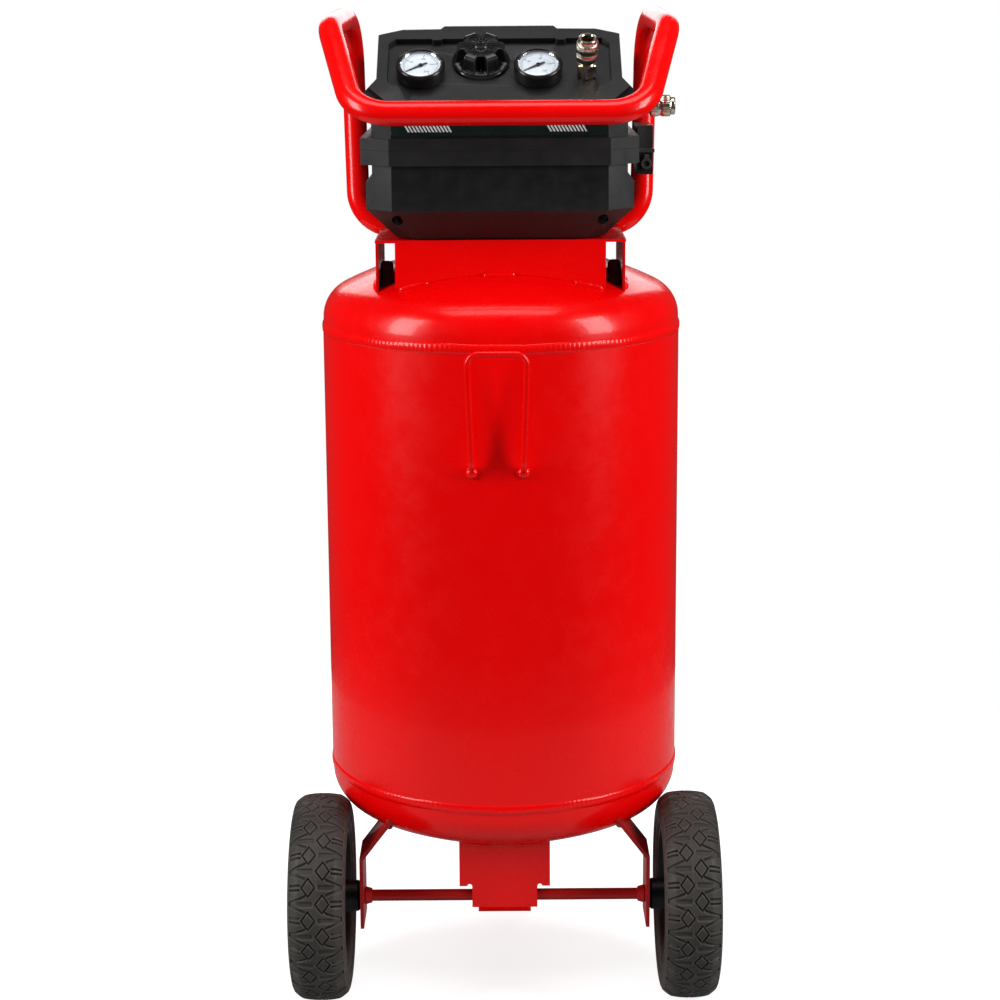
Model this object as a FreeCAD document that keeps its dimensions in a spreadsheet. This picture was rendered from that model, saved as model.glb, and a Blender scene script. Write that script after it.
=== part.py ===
"""Vertical portable air compressor: a tank on two wheels with the pump in a shroud on top.

Millimetres, +Z up, ground at z = 0, front of the machine towards -Y.
Lengths are written about the tank axis; every node is then moved back by Dims.axis_y, so
that the origin is on the ground under the middle of the whole machine.
"""
import FreeCAD, Part
import math
import os
import Sketcher
from FreeCAD import Placement, Rotation, Vector

doc = FreeCAD.newDocument("air_compressor")
os.makedirs("parts", exist_ok=True)

# ---------------------------------------------------------------- driving dimensions

DIMENSIONS = {
    # placement of the whole machine
    "axis_y": 16.7,
    # tank: 15.5 inch shell with torispherical heads
    "tank_radius": 197.0,
    "shell_wall": 2.6,
    "seam_low": 242.0,
    "seam_high": 741.0,
    "head_radius": 196.4,
    "head_wall": 3.0,
    "head_skirt": 10.0,
    "crown_radius": 394.0,
    "knuckle_radius": 40.0,
    "bead_half": 5.5,
    "bead_rise": 1.2,
    # saddle on the top head
    "saddle_top": 845.7,
    "saddle_sheet": 3.0,
    "saddle_half_width": 132.0,
    "saddle_plate_half": 111.0,
    "saddle_front": 120.0,
    "saddle_waist": 36.0,
    "saddle_tail_half": 96.0,
    # handle and hose hook
    "handle_tube": 12.7,
    "hook_rod": 3.2,
    # axle, struts, wheels
    "axle_front": 118.0,
    "axle_height": 113.5,
    "axle_rod": 6.35,
    "axle_half": 232.0,
    "strut_gap": 156.0,
    "strut_sheet": 4.0,
    "strut_breadth": 56.0,
    "wheel_radius": 113.5,
    "wheel_centre": 203.0,
    "tread_half": 31.0,
    "rim_radius": 78.0,
    # axle bracket under the bottom head
    "bracket_front": 128.0,
    "bracket_sheet": 3.0,
    "bracket_half": 50.3,
    "bracket_toe_half": 36.2,
    "bracket_step": 127.5,
    "bracket_low": 102.6,
    # rear foot
    "foot_back": 112.0,
    "foot_sheet": 4.0,
    "foot_half": 32.0,
    "foot_step": 26.0,
    # shroud
    "shroud_half": 140.0,
    "shroud_front": 150.0,
    "shroud_rear": 130.0,
    "shroud_corner": 28.0,
    "shroud_wall": 3.0,
    "parting": 941.0,
    "band_top": 953.0,
    "band_bottom": 925.5,
    "band_proud": 5.0,
    "belly_top": 879.0,
    "belly_bottom": 847.1,
    "shoulder": 1000.0,
    "tower_half": 127.5,
    "panel_low": 988.0,
    "panel_high": 1061.0,
    "panel_run": 102.0,
    "tray_depth": 6.0,
    # panel fittings
    "gauge_radius": 25.5,
    "gauge_height": 10.0,
    "gauge_up": 57.0,
    "gauge_left": 81.7,
    "gauge_right": 40.6,
    "knob_radius": 30.3,
    "knob_height": 16.0,
    "knob_up": 77.3,
    "knob_left": 19.0,
    "coupler_radius": 11.5,
    "coupler_up": 56.0,
    "coupler_x": 91.0,
    "side_coupler_y": 60.0,
    "side_coupler_z": 981.0,
    # motor and pump
    "motor_height": 930.0,
    "stator_radius": 58.0,
    "rotor_radius": 34.0,
    "shaft_radius": 8.0,
    "bore_radius": 28.0,
    "crank_throw": 9.0,
}

sheet = doc.addObject("Spreadsheet::Sheet", "Dims")
for row, (alias, number) in enumerate(DIMENSIONS.items(), start=1):
    sheet.set(f"A{row}", alias)
    sheet.set(f"B{row}", f"{number} mm")
    sheet.setAlias(f"B{row}", alias)
doc.recompute()


class Length:
    """A length held twice: as a number for building, as an expression for binding."""

    def __init__(self, number, text=None):
        self.number = float(number)
        self.text = text if text is not None else f"{float(number):.4f} mm"

    def __add__(self, other):
        other = length(other)
        return Length(self.number + other.number, f"({self.text} + {other.text})")

    def __sub__(self, other):
        other = length(other)
        return Length(self.number - other.number, f"({self.text} - {other.text})")

    def __radd__(self, other):
        return length(other) + self

    def __rsub__(self, other):
        return length(other) - self

    def __neg__(self):
        return Length(-self.number, f"(-1 * {self.text})")

    def __mul__(self, factor):
        return Length(self.number * factor, f"({self.text} * {factor})")

    __rmul__ = __mul__

    def __truediv__(self, factor):
        return self * (1.0 / factor)


def length(value):
    return value if isinstance(value, Length) else Length(value)


class Sheet:
    """Gives each spreadsheet alias as a bound Length."""

    def __getattr__(self, alias):
        return Length(DIMENSIONS[alias], f"Dims.{alias}")


D = Sheet()

# ---------------------------------------------------------------- building helpers

ORIGINS = {}
NODES = []
TURN = {
    "Z": Rotation(),
    "X": Rotation(Vector(0, 1, 0), 90),
    "-X": Rotation(Vector(0, 1, 0), -90),
    "Y": Rotation(Vector(1, 0, 0), -90),
    "-Y": Rotation(Vector(1, 0, 0), 90),
    "-Z": Rotation(Vector(1, 0, 0), 180),
}


def place(obj, at, turn=None):
    """Put obj at a point given in Lengths, and bind each coordinate."""
    at = [length(value) for value in at]
    rotation = turn if isinstance(turn, Rotation) else TURN[turn or "Z"]
    obj.Placement = Placement(Vector(*[value.number for value in at]), rotation)
    for axis, value in zip("xyz", at):
        obj.setExpression(f"Placement.Base.{axis}", value.text)
    ORIGINS[obj.Name] = (at, rotation)
    return obj


def bind(obj, **values):
    for name, value in values.items():
        value = length(value)
        setattr(obj, name, value.number)
        obj.setExpression(name, value.text)
    return obj


def box(name, low, high):
    low = [length(value) for value in low]
    high = [length(value) for value in high]
    obj = doc.addObject("Part::Box", name)
    size = [b - a for a, b in zip(low, high)]
    bind(obj, Length=size[0], Width=size[1], Height=size[2])
    return place(obj, low)


def cylinder(name, radius, height, at, turn=None):
    obj = doc.addObject("Part::Cylinder", name)
    bind(obj, Radius=radius, Height=height)
    return place(obj, at, turn)


def cone(name, radius, end_radius, height, at, turn=None):
    obj = doc.addObject("Part::Cone", name)
    bind(obj, Radius1=radius, Radius2=end_radius, Height=height)
    return place(obj, at, turn)


def torus(name, ring, tube, at, turn=None):
    obj = doc.addObject("Part::Torus", name)
    bind(obj, Radius1=ring, Radius2=tube)
    return place(obj, at, turn)


def hexagon(name, across, height, at, turn=None):
    obj = doc.addObject("Part::Prism", name)
    obj.Polygon = 6
    bind(obj, Circumradius=length(across) / math.sqrt(3), Height=height)
    return place(obj, at, turn)


def fuse(name, shapes):
    obj = doc.addObject("Part::MultiFuse", name)
    obj.Shapes = shapes
    obj.Refine = True
    return place(obj, (0, 0, 0))


def cut(name, base, tools):
    tool = tools[0] if len(tools) == 1 else fuse(f"{name}_tools", tools)
    obj = doc.addObject("Part::Cut", name)
    obj.Base = base
    obj.Tool = tool
    obj.Refine = True
    return place(obj, (0, 0, 0))


def common(name, first, second):
    obj = doc.addObject("Part::MultiCommon", name)
    obj.Shapes = [first, second]
    obj.Refine = True
    return place(obj, (0, 0, 0))


def group(name, shapes):
    obj = doc.addObject("Part::Compound", name)
    obj.Links = shapes
    return place(obj, (0, 0, 0))


def node(obj, label):
    """Make obj a node of the assembly: label it and move it from the tank axis to the origin."""
    at, rotation = ORIGINS[obj.Name]
    place(obj, (at[0], at[1] + D.axis_y, at[2]), rotation)
    obj.Label = label
    NODES.append(obj)
    return obj


def plane_of(body, role):
    for feature in body.Origin.OriginFeatures:
        if feature.Role == role:
            return feature
    raise ValueError(role)


def draw(body, name, plane, outlines, offset=0.0):
    """A constrained sketch on one of the body's planes, from closed outlines of corners.

    A corner is (x, y), or (x, y, radius, turn) when an arc runs from it to the next corner.
    """
    sketch = body.newObject("Sketcher::SketchObject", name)
    sketch.AttachmentSupport = [(plane_of(body, plane), "")]
    sketch.MapMode = "FlatFace"
    offset = length(offset)
    sketch.AttachmentOffset = Placement(Vector(0, 0, offset.number), Rotation())
    sketch.setExpression("AttachmentOffset.Base.z", offset.text)
    for outline in outlines:
        if len(outline) == 2 and isinstance(outline[1], Length):
            draw_circle(sketch, outline)
        else:
            draw_outline(sketch, outline)
    return sketch


def draw_circle(sketch, outline):
    centre, radius = outline
    centre = [length(value) for value in centre]
    at = Vector(centre[0].number, centre[1].number, 0)
    index = sketch.addGeometry(Part.Circle(at, Vector(0, 0, 1), radius.number))
    fix_point(sketch, index, 3, centre)
    fix = sketch.addConstraint(Sketcher.Constraint("Radius", index, radius.number))
    sketch.setExpression(f"Constraints[{fix}]", radius.text)


def arc_between(start, end, radius, turn):
    """Arc of the given radius between two points; turn +1 bends left, -1 bends right."""
    middle = (start + end) * 0.5
    chord = end - start
    side = Vector(-chord.y, chord.x, 0).normalize()
    rise = math.sqrt(max(radius ** 2 - (chord.Length / 2) ** 2, 0.0))
    centre = middle + side * (rise * turn)
    first = math.atan2(start.y - centre.y, start.x - centre.x)
    last = math.atan2(end.y - centre.y, end.x - centre.x)
    if turn < 0:
        first, last = last, first
    circle = Part.Circle(centre, Vector(0, 0, 1), radius)
    return Part.ArcOfCircle(circle, first, last)


def draw_outline(sketch, outline):
    corners = [[length(corner[0]), length(corner[1])] for corner in outline]
    points = [Vector(x.number, y.number, 0) for x, y in corners]
    ends = []
    for number, corner in enumerate(outline):
        start = points[number]
        end = points[(number + 1) % len(points)]
        if len(corner) == 4:
            radius = length(corner[2])
            index = sketch.addGeometry(arc_between(start, end, radius.number, corner[3]))
            first, last = (1, 2) if corner[3] > 0 else (2, 1)
            if abs(sketch.getPoint(index, 3).x) < 1e-6:
                # an arc about the axis keeps its centre exactly there; its ends set its radius
                sketch.addConstraint(Sketcher.Constraint("PointOnObject", index, 3, -2))
            else:
                fix = sketch.addConstraint(Sketcher.Constraint("Radius", index, radius.number))
                sketch.setExpression(f"Constraints[{fix}]", radius.text)
        else:
            index = sketch.addGeometry(Part.LineSegment(start, end))
            first, last = 1, 2
        ends.append((index, first, last))
    for number, (index, first, _) in enumerate(ends):
        before = ends[number - 1]
        sketch.addConstraint(Sketcher.Constraint("Coincident", before[0], before[2], index, first))
        fix_point(sketch, index, first, corners[number])


def fix_point(sketch, index, pos, corner):
    for kind, axis, value in (("DistanceX", -2, corner[0]), ("DistanceY", -1, corner[1])):
        if abs(value.number) < 1e-9:
            sketch.addConstraint(Sketcher.Constraint("PointOnObject", index, pos, axis))
            continue
        if value.number > 0:
            args = (kind, -1, 1, index, pos, value.number)
            text = value.text
        else:
            args = (kind, index, pos, -1, 1, -value.number)
            text = (-value).text
        fix = sketch.addConstraint(Sketcher.Constraint(*args))
        sketch.setExpression(f"Constraints[{fix}]", text)


def padded(name, plane, outlines, depth, offset=0.0, at=(0, 0, 0), turn=None):
    """A body made by padding outlines along the plane's normal, starting at offset."""
    body = doc.addObject("PartDesign::Body", name)
    sketch = draw(body, f"{name}_outline", plane, outlines, offset)
    pad = body.newObject("PartDesign::Pad", f"{name}_pad")
    pad.Profile = sketch
    bind(pad, Length=depth)
    doc.recompute()
    return place(body, at, turn)


def revolved(name, outline, axis="V_Axis", at=(0, 0, 0), turn=None):
    """A body made by turning an outline in the XZ plane about the upright or the level axis."""
    body = doc.addObject("PartDesign::Body", name)
    sketch = draw(body, f"{name}_outline", "XZ_Plane", [outline])
    turned = body.newObject("PartDesign::Revolution", f"{name}_turned")
    turned.Profile = sketch
    turned.ReferenceAxis = (sketch, [axis])
    turned.Angle = 360.0
    doc.recompute()
    return place(body, at, turn)


def polar_pockets(body, name, outline, offset, depth, count):
    """Pocket an outline, drawn on the body's XY plane, and repeat it round the upright axis."""
    before = body.Shape.Volume
    sketch = draw(body, f"{name}_outline", "XY_Plane", [outline], offset)
    pocket = body.newObject("PartDesign::Pocket", f"{name}_pocket")
    pocket.Profile = sketch
    bind(pocket, Length=depth)
    doc.recompute()
    pattern = body.newObject("PartDesign::PolarPattern", f"{name}_pattern")
    pattern.Originals = [pocket]
    pattern.Axis = (sketch, ["N_Axis"])
    pattern.Angle = 360.0
    pattern.Occurrences = count
    body.Tip = pattern
    doc.recompute()
    if body.Shape.Volume > before - 1.0:
        raise RuntimeError(f"{name} cuts nothing")
    return body


def mirrored(outline):
    """Close an outline given for x > 0 by its mirror image across the upright axis."""
    return outline + [(-corner[0], corner[1]) for corner in reversed(outline)]


def bent_tube(name, corners, radius, bend, inner=0.0):
    """A round tube whose centre line runs through the corners; bend is one radius or a list."""
    points = [Vector(*corner) for corner in corners]
    bends = bend if isinstance(bend, list) else [bend] * (len(points) - 2)
    edges = []
    start = points[0]
    for number in range(1, len(points) - 1):
        corner = points[number]
        back = (points[number - 1] - corner).normalize()
        ahead = (points[number + 1] - corner).normalize()
        half = back.getAngle(ahead) / 2.0
        turn = bends[number - 1]
        reach = turn / math.tan(half)
        entry = corner + back * reach
        leave = corner + ahead * reach
        inward = (back + ahead).normalize()
        middle = corner + inward * (turn / math.sin(half) - turn)
        edges.append(Part.makeLine(start, entry))
        edges.append(Part.Arc(entry, middle, leave).toShape())
        start = leave
    edges.append(Part.makeLine(start, points[-1]))
    spine = Part.Wire(edges)
    along = edges[0].tangentAt(edges[0].FirstParameter)
    solid = pipe(spine, points[0], along, radius)
    if inner:
        solid = solid.cut(pipe(spine, points[0], along, inner))
    obj = doc.addObject("Part::Feature", name)
    obj.Shape = solid
    return place(obj, (0, 0, 0))


def pipe(spine, start, along, radius):
    ring = Part.Wire([Part.makeCircle(radius, start, along)])
    return spine.makePipeShell([ring], True, True)


def mirror_x(name, obj):
    twin = doc.addObject("Part::Mirroring", name)
    twin.Source = obj
    twin.Normal = Vector(1, 0, 0)
    twin.Base = Vector(0, 0, 0)
    return place(twin, (0, 0, 0))


def octagon(half, front, rear, corner):
    """Plan outline of the shroud: a rectangle with its four corners cut off."""
    half, front, rear, corner = [length(value) for value in (half, front, rear, corner)]
    right = [
        (half - corner, -front),
        (half, corner - front),
        (half, rear - corner),
        (half - corner, rear),
    ]
    return mirrored(right)


# ---------------------------------------------------------------- tank

def head_outline(shrink=0.0, grow=0.0, solid=False):
    """Half section of a torispherical head above its seam at z = 0."""
    crown = D.crown_radius
    knuckle = D.knuckle_radius
    skirt = D.head_skirt
    across = DIMENSIONS["head_radius"] - DIMENSIONS["knuckle_radius"]
    reach = DIMENSIONS["crown_radius"] - DIMENSIONS["knuckle_radius"]
    drop = math.sqrt(reach ** 2 - across ** 2)
    lean = math.asin(across / reach)

    def ring(offset):
        """Skirt end, knuckle end and apex of the head grown by offset."""
        side = D.head_radius + offset
        join_x = DIMENSIONS["crown_radius"] * math.sin(lean) + offset * math.sin(lean)
        join_z = (DIMENSIONS["crown_radius"] + offset) * math.cos(lean) - drop
        apex = crown - drop + offset + skirt
        return side, Length(join_x), skirt + join_z, apex

    side, join_x, join_z, apex = ring(grow)
    outer = [
        (side, 0),
        (side, skirt, knuckle + grow, 1),
        (join_x, join_z, crown + grow, 1),
        (0, apex),
    ]
    if solid:
        return outer + [(0, 0)]
    side, join_x, join_z, apex = ring(grow - shrink)
    inner = [
        (0, apex, crown + grow - shrink, -1),
        (join_x, join_z, knuckle + grow - shrink, -1),
        (side, skirt),
        (side, 0),
    ]
    return outer + inner


def tank():
    wall = [((0, 0), D.tank_radius), ((0, 0), D.tank_radius - D.shell_wall)]
    shell = padded("TankShell", "XY_Plane", wall, D.seam_high - D.seam_low, at=(0, 0, D.seam_low))
    node(shell, "tank_shell")
    wall = DIMENSIONS["head_wall"]
    top = revolved("TopHead", head_outline(wall), at=(0, 0, D.seam_high))
    node(top, "tank_top_head")
    bottom = revolved("BottomHead", head_outline(wall), at=(0, 0, D.seam_low), turn="-Z")
    node(bottom, "tank_bottom_head")
    bead = [
        (D.tank_radius, -D.bead_half),
        (D.tank_radius + D.bead_rise, -D.bead_half / 2),
        (D.head_radius + D.bead_rise, D.bead_half / 2),
        (D.head_radius, D.bead_half),
        (D.head_radius, 0),
        (D.tank_radius, 0),
    ]
    high = revolved("TopBead", bead, at=(0, 0, D.seam_high))
    low = revolved("BottomBead", bead, at=(0, 0, D.seam_low), turn="-Z")
    node(group("Beads", [high, low]), "seam_welds")


def dome(name, top, clearance=0.2):
    """A solid head, used to trim what is welded on it."""
    outline = head_outline(grow=clearance, solid=True)
    if top:
        return revolved(name, outline, at=(0, 0, D.seam_high))
    return revolved(name, outline, at=(0, 0, D.seam_low), turn="-Z")


def crown_height(x, y):
    """Distance from a head's seam to its outside at a point on its crown."""
    across = DIMENSIONS["head_radius"] - DIMENSIONS["knuckle_radius"]
    reach = DIMENSIONS["crown_radius"] - DIMENSIONS["knuckle_radius"]
    centre = DIMENSIONS["head_skirt"] - math.sqrt(reach ** 2 - across ** 2)
    return centre + math.sqrt(DIMENSIONS["crown_radius"] ** 2 - x ** 2 - y ** 2)


def top_skin(x, y):
    return DIMENSIONS["seam_high"] + crown_height(x, y)


def bottom_skin(x, y):
    return DIMENSIONS["seam_low"] - crown_height(x, y)


# ---------------------------------------------------------------- saddle

RISER_AT = (60.0, 75.0)
CHECK_AT = (-60.0, 75.0)
SAFETY_AT = (0.0, 150.0)
ISOLATORS = [(x, y) for x in (-62.0, 58.0) for y in (-72.0, 22.0)]
BUFFERS = [(x, -92.0) for x in (-121.0, 121.0)]


def saddle():
    top = D.saddle_top
    under = top - D.saddle_sheet
    wide, waist, tail = D.saddle_half_width, D.saddle_waist, D.saddle_tail_half
    front = D.saddle_front
    outline = mirrored([(wide, -front), (wide, waist), (tail, waist), (tail, front)])
    deck = padded("SaddleDeck", "XY_Plane", [outline], D.saddle_sheet, at=(0, 0, under))
    low = top - 60
    sheet_t = D.saddle_sheet
    plate = D.saddle_plate_half
    skirts = [
        box("SaddleFrontSkirt", (-plate, -front, low), (plate, sheet_t - front, under)),
        box("SaddleRearSkirt", (-80, front - sheet_t, low), (80, front, under)),
    ]
    for side, sign in (("Left", -1), ("Right", 1)):
        inner, outer = sorted((sign * 129.0, sign * 132.0))
        skirts.append(box(f"SaddleSkirt{side}", (inner, -108, low), (outer, 24, under)))
        inner, outer = sorted((sign * 93.0, sign * 96.0))
        skirts.append(box(f"SaddleTail{side}", (inner, waist, low), (outer, 108, under)))
    body = fuse("SaddleBody", [deck] + skirts)
    holes = [cylinder("SaddleRiserHole", 7, 30, (*RISER_AT, low + 45))]
    holes.append(cylinder("SaddleCheckHole", 16, 30, (*CHECK_AT, low + 45)))
    for number, (x, y) in enumerate(ISOLATORS):
        holes.append(cylinder(f"SaddleBoltHole{number}", 4.2, 30, (x, y, low + 45)))
    body = cut("Saddle", body, [dome("SaddleTrim", True)] + holes)
    node(body, "saddle_bracket")


def rubber_mounts():
    """Isolators between saddle and motor base, and two buffers standing on the dome."""
    feet = []
    for number, (x, y) in enumerate(ISOLATORS):
        feet.append(cylinder(f"Isolator{number}", 11, 858.9 - D.saddle_top, (x, y, D.saddle_top)))
    for number, (x, y) in enumerate(BUFFERS):
        pad = cylinder(f"Buffer{number}", 7.6, 51, (x, y, 770))
        feet.append(cut(f"BufferFoot{number}", pad, [dome(f"BufferTrim{number}", True)]))
    node(group("RubberMounts", feet), "rubber_mounts")


# ---------------------------------------------------------------- handle and hook

def handle():
    right = [
        (97.5, 52, 844),
        (158.3, 52, 844),
        (164.5, 78, 1077),
        (178, -72, 1064),
        (147, -185, 981),
    ]
    left = [(-x, y, z) for x, y, z in right]
    bends = [40, 46, 46, 46, 46, 46, 46, 40]
    tube = bent_tube("Handle", left + right[::-1], DIMENSIONS["handle_tube"], bends, inner=11.0)
    node(tube, "handle_tube")


def hook():
    skin = DIMENSIONS["tank_radius"]
    middle = -4.5
    legs = [
        (-27, -skin + 2, 612),
        (-27, -skin - 10, 622),
        (-31, -skin - 27, 741),
        (31, -skin - 27, 741),
        (27, -skin - 10, 622),
        (27, -skin + 2, 612),
    ]
    legs = [(x + middle, y, z) for x, y, z in legs]
    rod = bent_tube("HookRod", legs, DIMENSIONS["hook_rod"], 12)
    drum = cylinder("HookTrim", D.tank_radius + 0.1, 300, (0, 0, 500))
    node(cut("Hook", rod, [drum]), "hose_hook")


# ---------------------------------------------------------------- axle, struts, wheels, foot

def struts():
    gap, thick = D.strut_gap, D.strut_sheet
    drop = D.axle_height - 27.9
    breadth = D.strut_breadth
    start = D.axle_front - breadth / 2
    for side, sign in (("left", -1), ("right", 1)):
        outline = [
            (gap * sign, drop),
            ((gap + thick) * sign, drop),
            ((gap + thick) * sign, 167),
            ((gap - 33) * sign, 216),
            ((gap - 38.5) * sign, 216),
            (gap * sign, 165.3),
        ]
        name = f"Strut{side.title()}"
        bar = padded(f"{name}Bar", "XZ_Plane", [outline], breadth, offset=start)
        at = (gap * sign - 15, -D.axle_front, D.axle_height)
        hole = cylinder(f"{name}Hole", D.axle_rod + 0.1, 30, at, "X")
        node(cut(name, bar, [dome(f"{name}Trim", False), hole]), f"strut_{side}")


def axle():
    at_y, at_z = -D.axle_front, D.axle_height
    rod = cylinder("AxleRod", D.axle_rod, D.axle_half * 2, (-D.axle_half, at_y, at_z), "X")
    inner, outer = D.strut_gap - 8, D.strut_gap - 0.3
    left = cone("AxleCollarLeft", 10, 8, outer - inner, (-outer, at_y, at_z), "X")
    right = cone("AxleCollarRight", 8, 10, outer - inner, (inner, at_y, at_z), "X")
    node(fuse("AxleBody", [rod, left, right]), "axle_rod")
    caps = []
    for side, sign in (("Left", -1), ("Right", 1)):
        start = -D.axle_half if sign < 0 else D.axle_half - 5
        cap = cylinder(f"AxleCap{side}", 11, 5, (start, at_y, at_z), "X")
        hole = cylinder(f"AxleCapHole{side}", D.axle_rod, 20, (start - 5, at_y, at_z), "X")
        caps.append(cut(f"AxleCapRing{side}", cap, [hole]))
    node(group("AxleCaps", caps), "axle_caps")


def axle_bracket():
    """Folded plate in front of the axle, with a lip under it, hung from the bottom head."""
    front, sheet_t = D.bracket_front, D.bracket_sheet
    half, toe = D.bracket_half, D.bracket_toe_half
    low, step = D.bracket_low, D.bracket_step
    outline = mirrored([(toe, low), (toe, step), (half, step), (half, 220)])
    plate = padded("BracketPlate", "XZ_Plane", [outline], sheet_t, offset=front - sheet_t)
    lip = box("BracketLip", (-toe, sheet_t - front, low), (toe, 20 - front, low + 3))
    parts = [plate, lip]
    notches = []
    for side, sign in (("Left", -1), ("Right", 1)):
        start = -half if sign < 0 else half - 3
        low_end = (start, sheet_t - front, step + 2)
        parts.append(box(f"BracketSide{side}", low_end, (start + 3, 25 - front, 220)))
        at = ((toe + 2.8) * sign, -front - 5, step)
        notches.append(cylinder(f"BracketNotch{side}", 2.5, 12, at, "Y"))
    trim = dome("BracketTrim", False)
    node(cut("Bracket", fuse("BracketBody", parts), [trim] + notches), "axle_bracket")


def wheels():
    tread, rim, across = D.wheel_radius, D.rim_radius, D.tread_half
    tyre_outline = [
        (-across + 3, rim),
        (-across, rim + 8),
        (-across, tread - 13),
        (-across + 5, tread - 6),
        (-across + 12, tread - 1.7),
        (0, tread),
        (across - 12, tread - 1.7),
        (across - 5, tread - 6),
        (across, tread - 13),
        (across, rim + 8),
        (across - 3, rim),
    ]
    hub_in, hub_out = 41.5, 23.7
    bore = D.axle_rod + 0.05
    rim_outline = [
        (-hub_in, bore),
        (-hub_in, 17),
        (-3, 19),
        (-3, rim - 10),
        (-across + 4, rim - 5),
        (-across + 4, rim),
        (across - 4, rim),
        (across - 4, rim - 5),
        (3, rim - 10),
        (3, 19),
        (hub_out, 17),
        (hub_out, bore),
    ]
    at_y, at_z = -D.axle_front, D.axle_height
    for side, sign in (("left", -1), ("right", 1)):
        centre = (D.wheel_centre * sign, at_y, at_z)
        turn = Rotation(Vector(0, 0, 1), 180 if sign < 0 else 0)
        tyre = revolved(f"Tyre{side.title()}", tyre_outline, "H_Axis", centre, turn)
        node(tyre, f"tyre_{side}")
        rim_body = revolved(f"Rim{side.title()}", rim_outline, "H_Axis", centre, turn)
        node(rim_body, f"rim_{side}")


def foot():
    back, thick, half = D.foot_back, D.foot_sheet, D.foot_half
    outline = mirrored([(half, 0), (half, 200)])
    plate = padded("FootPlate", "XZ_Plane", [outline], thick, offset=-back, at=(0, thick, 0))
    parts = [plate, box("FootLip", (-half, back - 14, 0), (half, back, 3))]
    for side, sign in (("Left", -1), ("Right", 1)):
        start = -half if sign < 0 else half - 4
        low_end = (start, back + 4, D.foot_step)
        parts.append(box(f"FootSide{side}", low_end, (start + 4, back + 34, 200)))
    node(cut("Foot", fuse("FootBody", parts), [dome("FootTrim", False)]), "foot_bracket")


# ---------------------------------------------------------------- shroud

SLOPE = math.degrees(math.atan2(
    DIMENSIONS["panel_high"] - DIMENSIONS["panel_low"], DIMENSIONS["panel_run"]))
PANEL_TURN = Rotation(Vector(1, 0, 0), SLOPE)


def on_panel(x, up, out=0.0):
    """Point in space at x across, up the slope and out along the normal of the panel."""
    lean = math.radians(SLOPE)
    x, up, out = length(x), length(up), length(out)
    y = up * math.cos(lean) - out * math.sin(lean) - D.shroud_front
    z = up * math.sin(lean) + out * math.cos(lean) + D.panel_low
    return (x, y, z)


def lofted(name, low, low_z, high, high_z):
    """A body with straight sides between a low and a high plan outline."""
    body = doc.addObject("PartDesign::Body", name)
    first = draw(body, f"{name}_low", "XY_Plane", [low], low_z)
    second = draw(body, f"{name}_high", "XY_Plane", [high], high_z)
    loft = body.newObject("PartDesign::AdditiveLoft", f"{name}_loft")
    loft.Profile = first
    loft.Sections = [second]
    loft.Ruled = True
    doc.recompute()
    return place(body, (0, 0, 0))


def shroud_plan(inset=0.0, half=None, rear=None, corner=None):
    half = D.shroud_half if half is None else half
    rear = D.shroud_rear if rear is None else rear
    corner = D.shroud_corner if corner is None else corner
    return octagon(half - inset, D.shroud_front - inset, rear - inset, corner - inset * 0.59)


def lower_form(name, inset):
    """The lower shroud as a solid, inset from its skin."""
    base = D.belly_bottom + inset
    low = octagon(109 - inset, 119 - inset, 100 - inset, 20)
    belly = lofted(f"{name}Belly", low, base, shroud_plan(inset), D.belly_top)
    top = D.parting - 0.1 + inset
    wall = padded(f"{name}Wall", "XY_Plane", [shroud_plan(inset)], top - D.belly_top, D.belly_top)
    return fuse(f"{name}Form", [belly, wall])


def side_notches(name, low, high, bevel_low, inset=0.0):
    """Hollows along both side walls next to the band."""
    depth = 133 - inset
    if bevel_low:
        outline = [(depth, high), (depth, low + 9), (depth + 9, low), (160, low), (160, high)]
    else:
        outline = [(depth, low), (160, low), (160, high), (depth + 9, high), (depth, high - 9)]
    right = padded(f"{name}Right", "XZ_Plane", [outline], 320, offset=-150)
    return [right, mirror_x(f"{name}Left", right)]


def slots(name, count, pitch, size, first):
    """A row of ventilation slots; pitch and size are vectors."""
    row = []
    for number in range(count):
        low = [a + pitch[axis] * number for axis, a in enumerate(first)]
        high = [a + b for a, b in zip(low, size)]
        row.append(box(f"{name}{number}", low, high))
    return row


GLAND_AT = (80.0, 892.0)


def lower_shroud():
    outer = lower_form("LowerOuter", 0.0)
    outer = cut("LowerCarved", outer, side_notches("LowerNotch", 905, 925.4, True))
    band = padded(
        "LowerBand",
        "XY_Plane",
        [shroud_plan(-DIMENSIONS["band_proud"])],
        D.parting - 0.1 - D.band_bottom,
        D.band_bottom,
    )
    outer = fuse("LowerSkin", [outer, band])
    inner = lower_form("LowerInner", DIMENSIONS["shroud_wall"])
    inner = cut("LowerCavity", inner, side_notches("LowerLiner", 902, 928.4, True, 3.0))
    tools = [inner, box("LowerFloorHole", (-86, -95, 840), (86, 94, 856))]
    for side, x in (("Left", -107), ("Right", 107)):
        tools.append(cylinder(f"LowerEye{side}", 6, 30, (x, -155, 868), "Y"))
    tools += slots("LowerVent", 8, (20, 0, 0), (12, 30, 3), (-76, 115, 912))
    tools += slots("LowerGrille", 8, (20, 0, 0), (12, 30, 3), (-76, 115, 904))
    for side, x in (("Left", -150), ("Right", 125)):
        tools += slots(f"LowerLouvre{side}", 6, (0, 12, 0), (25, 5, 14), (x, -40, 884))
    tools.append(box("LowerSwitchHole", (125, 0, 920), (150, 20, 940)))
    tools.append(box("LowerHandleGap", (-160, 36, 840), (-95, 68, 884)))
    tools.append(box("LowerHandleGapRight", (95, 36, 840), (160, 68, 884)))
    tools.append(cylinder("LowerGlandHole", 5.8, 30, (GLAND_AT[0], 115, GLAND_AT[1]), "Y"))
    node(cut("LowerShroud", outer, tools), "lower_shroud")


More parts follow.
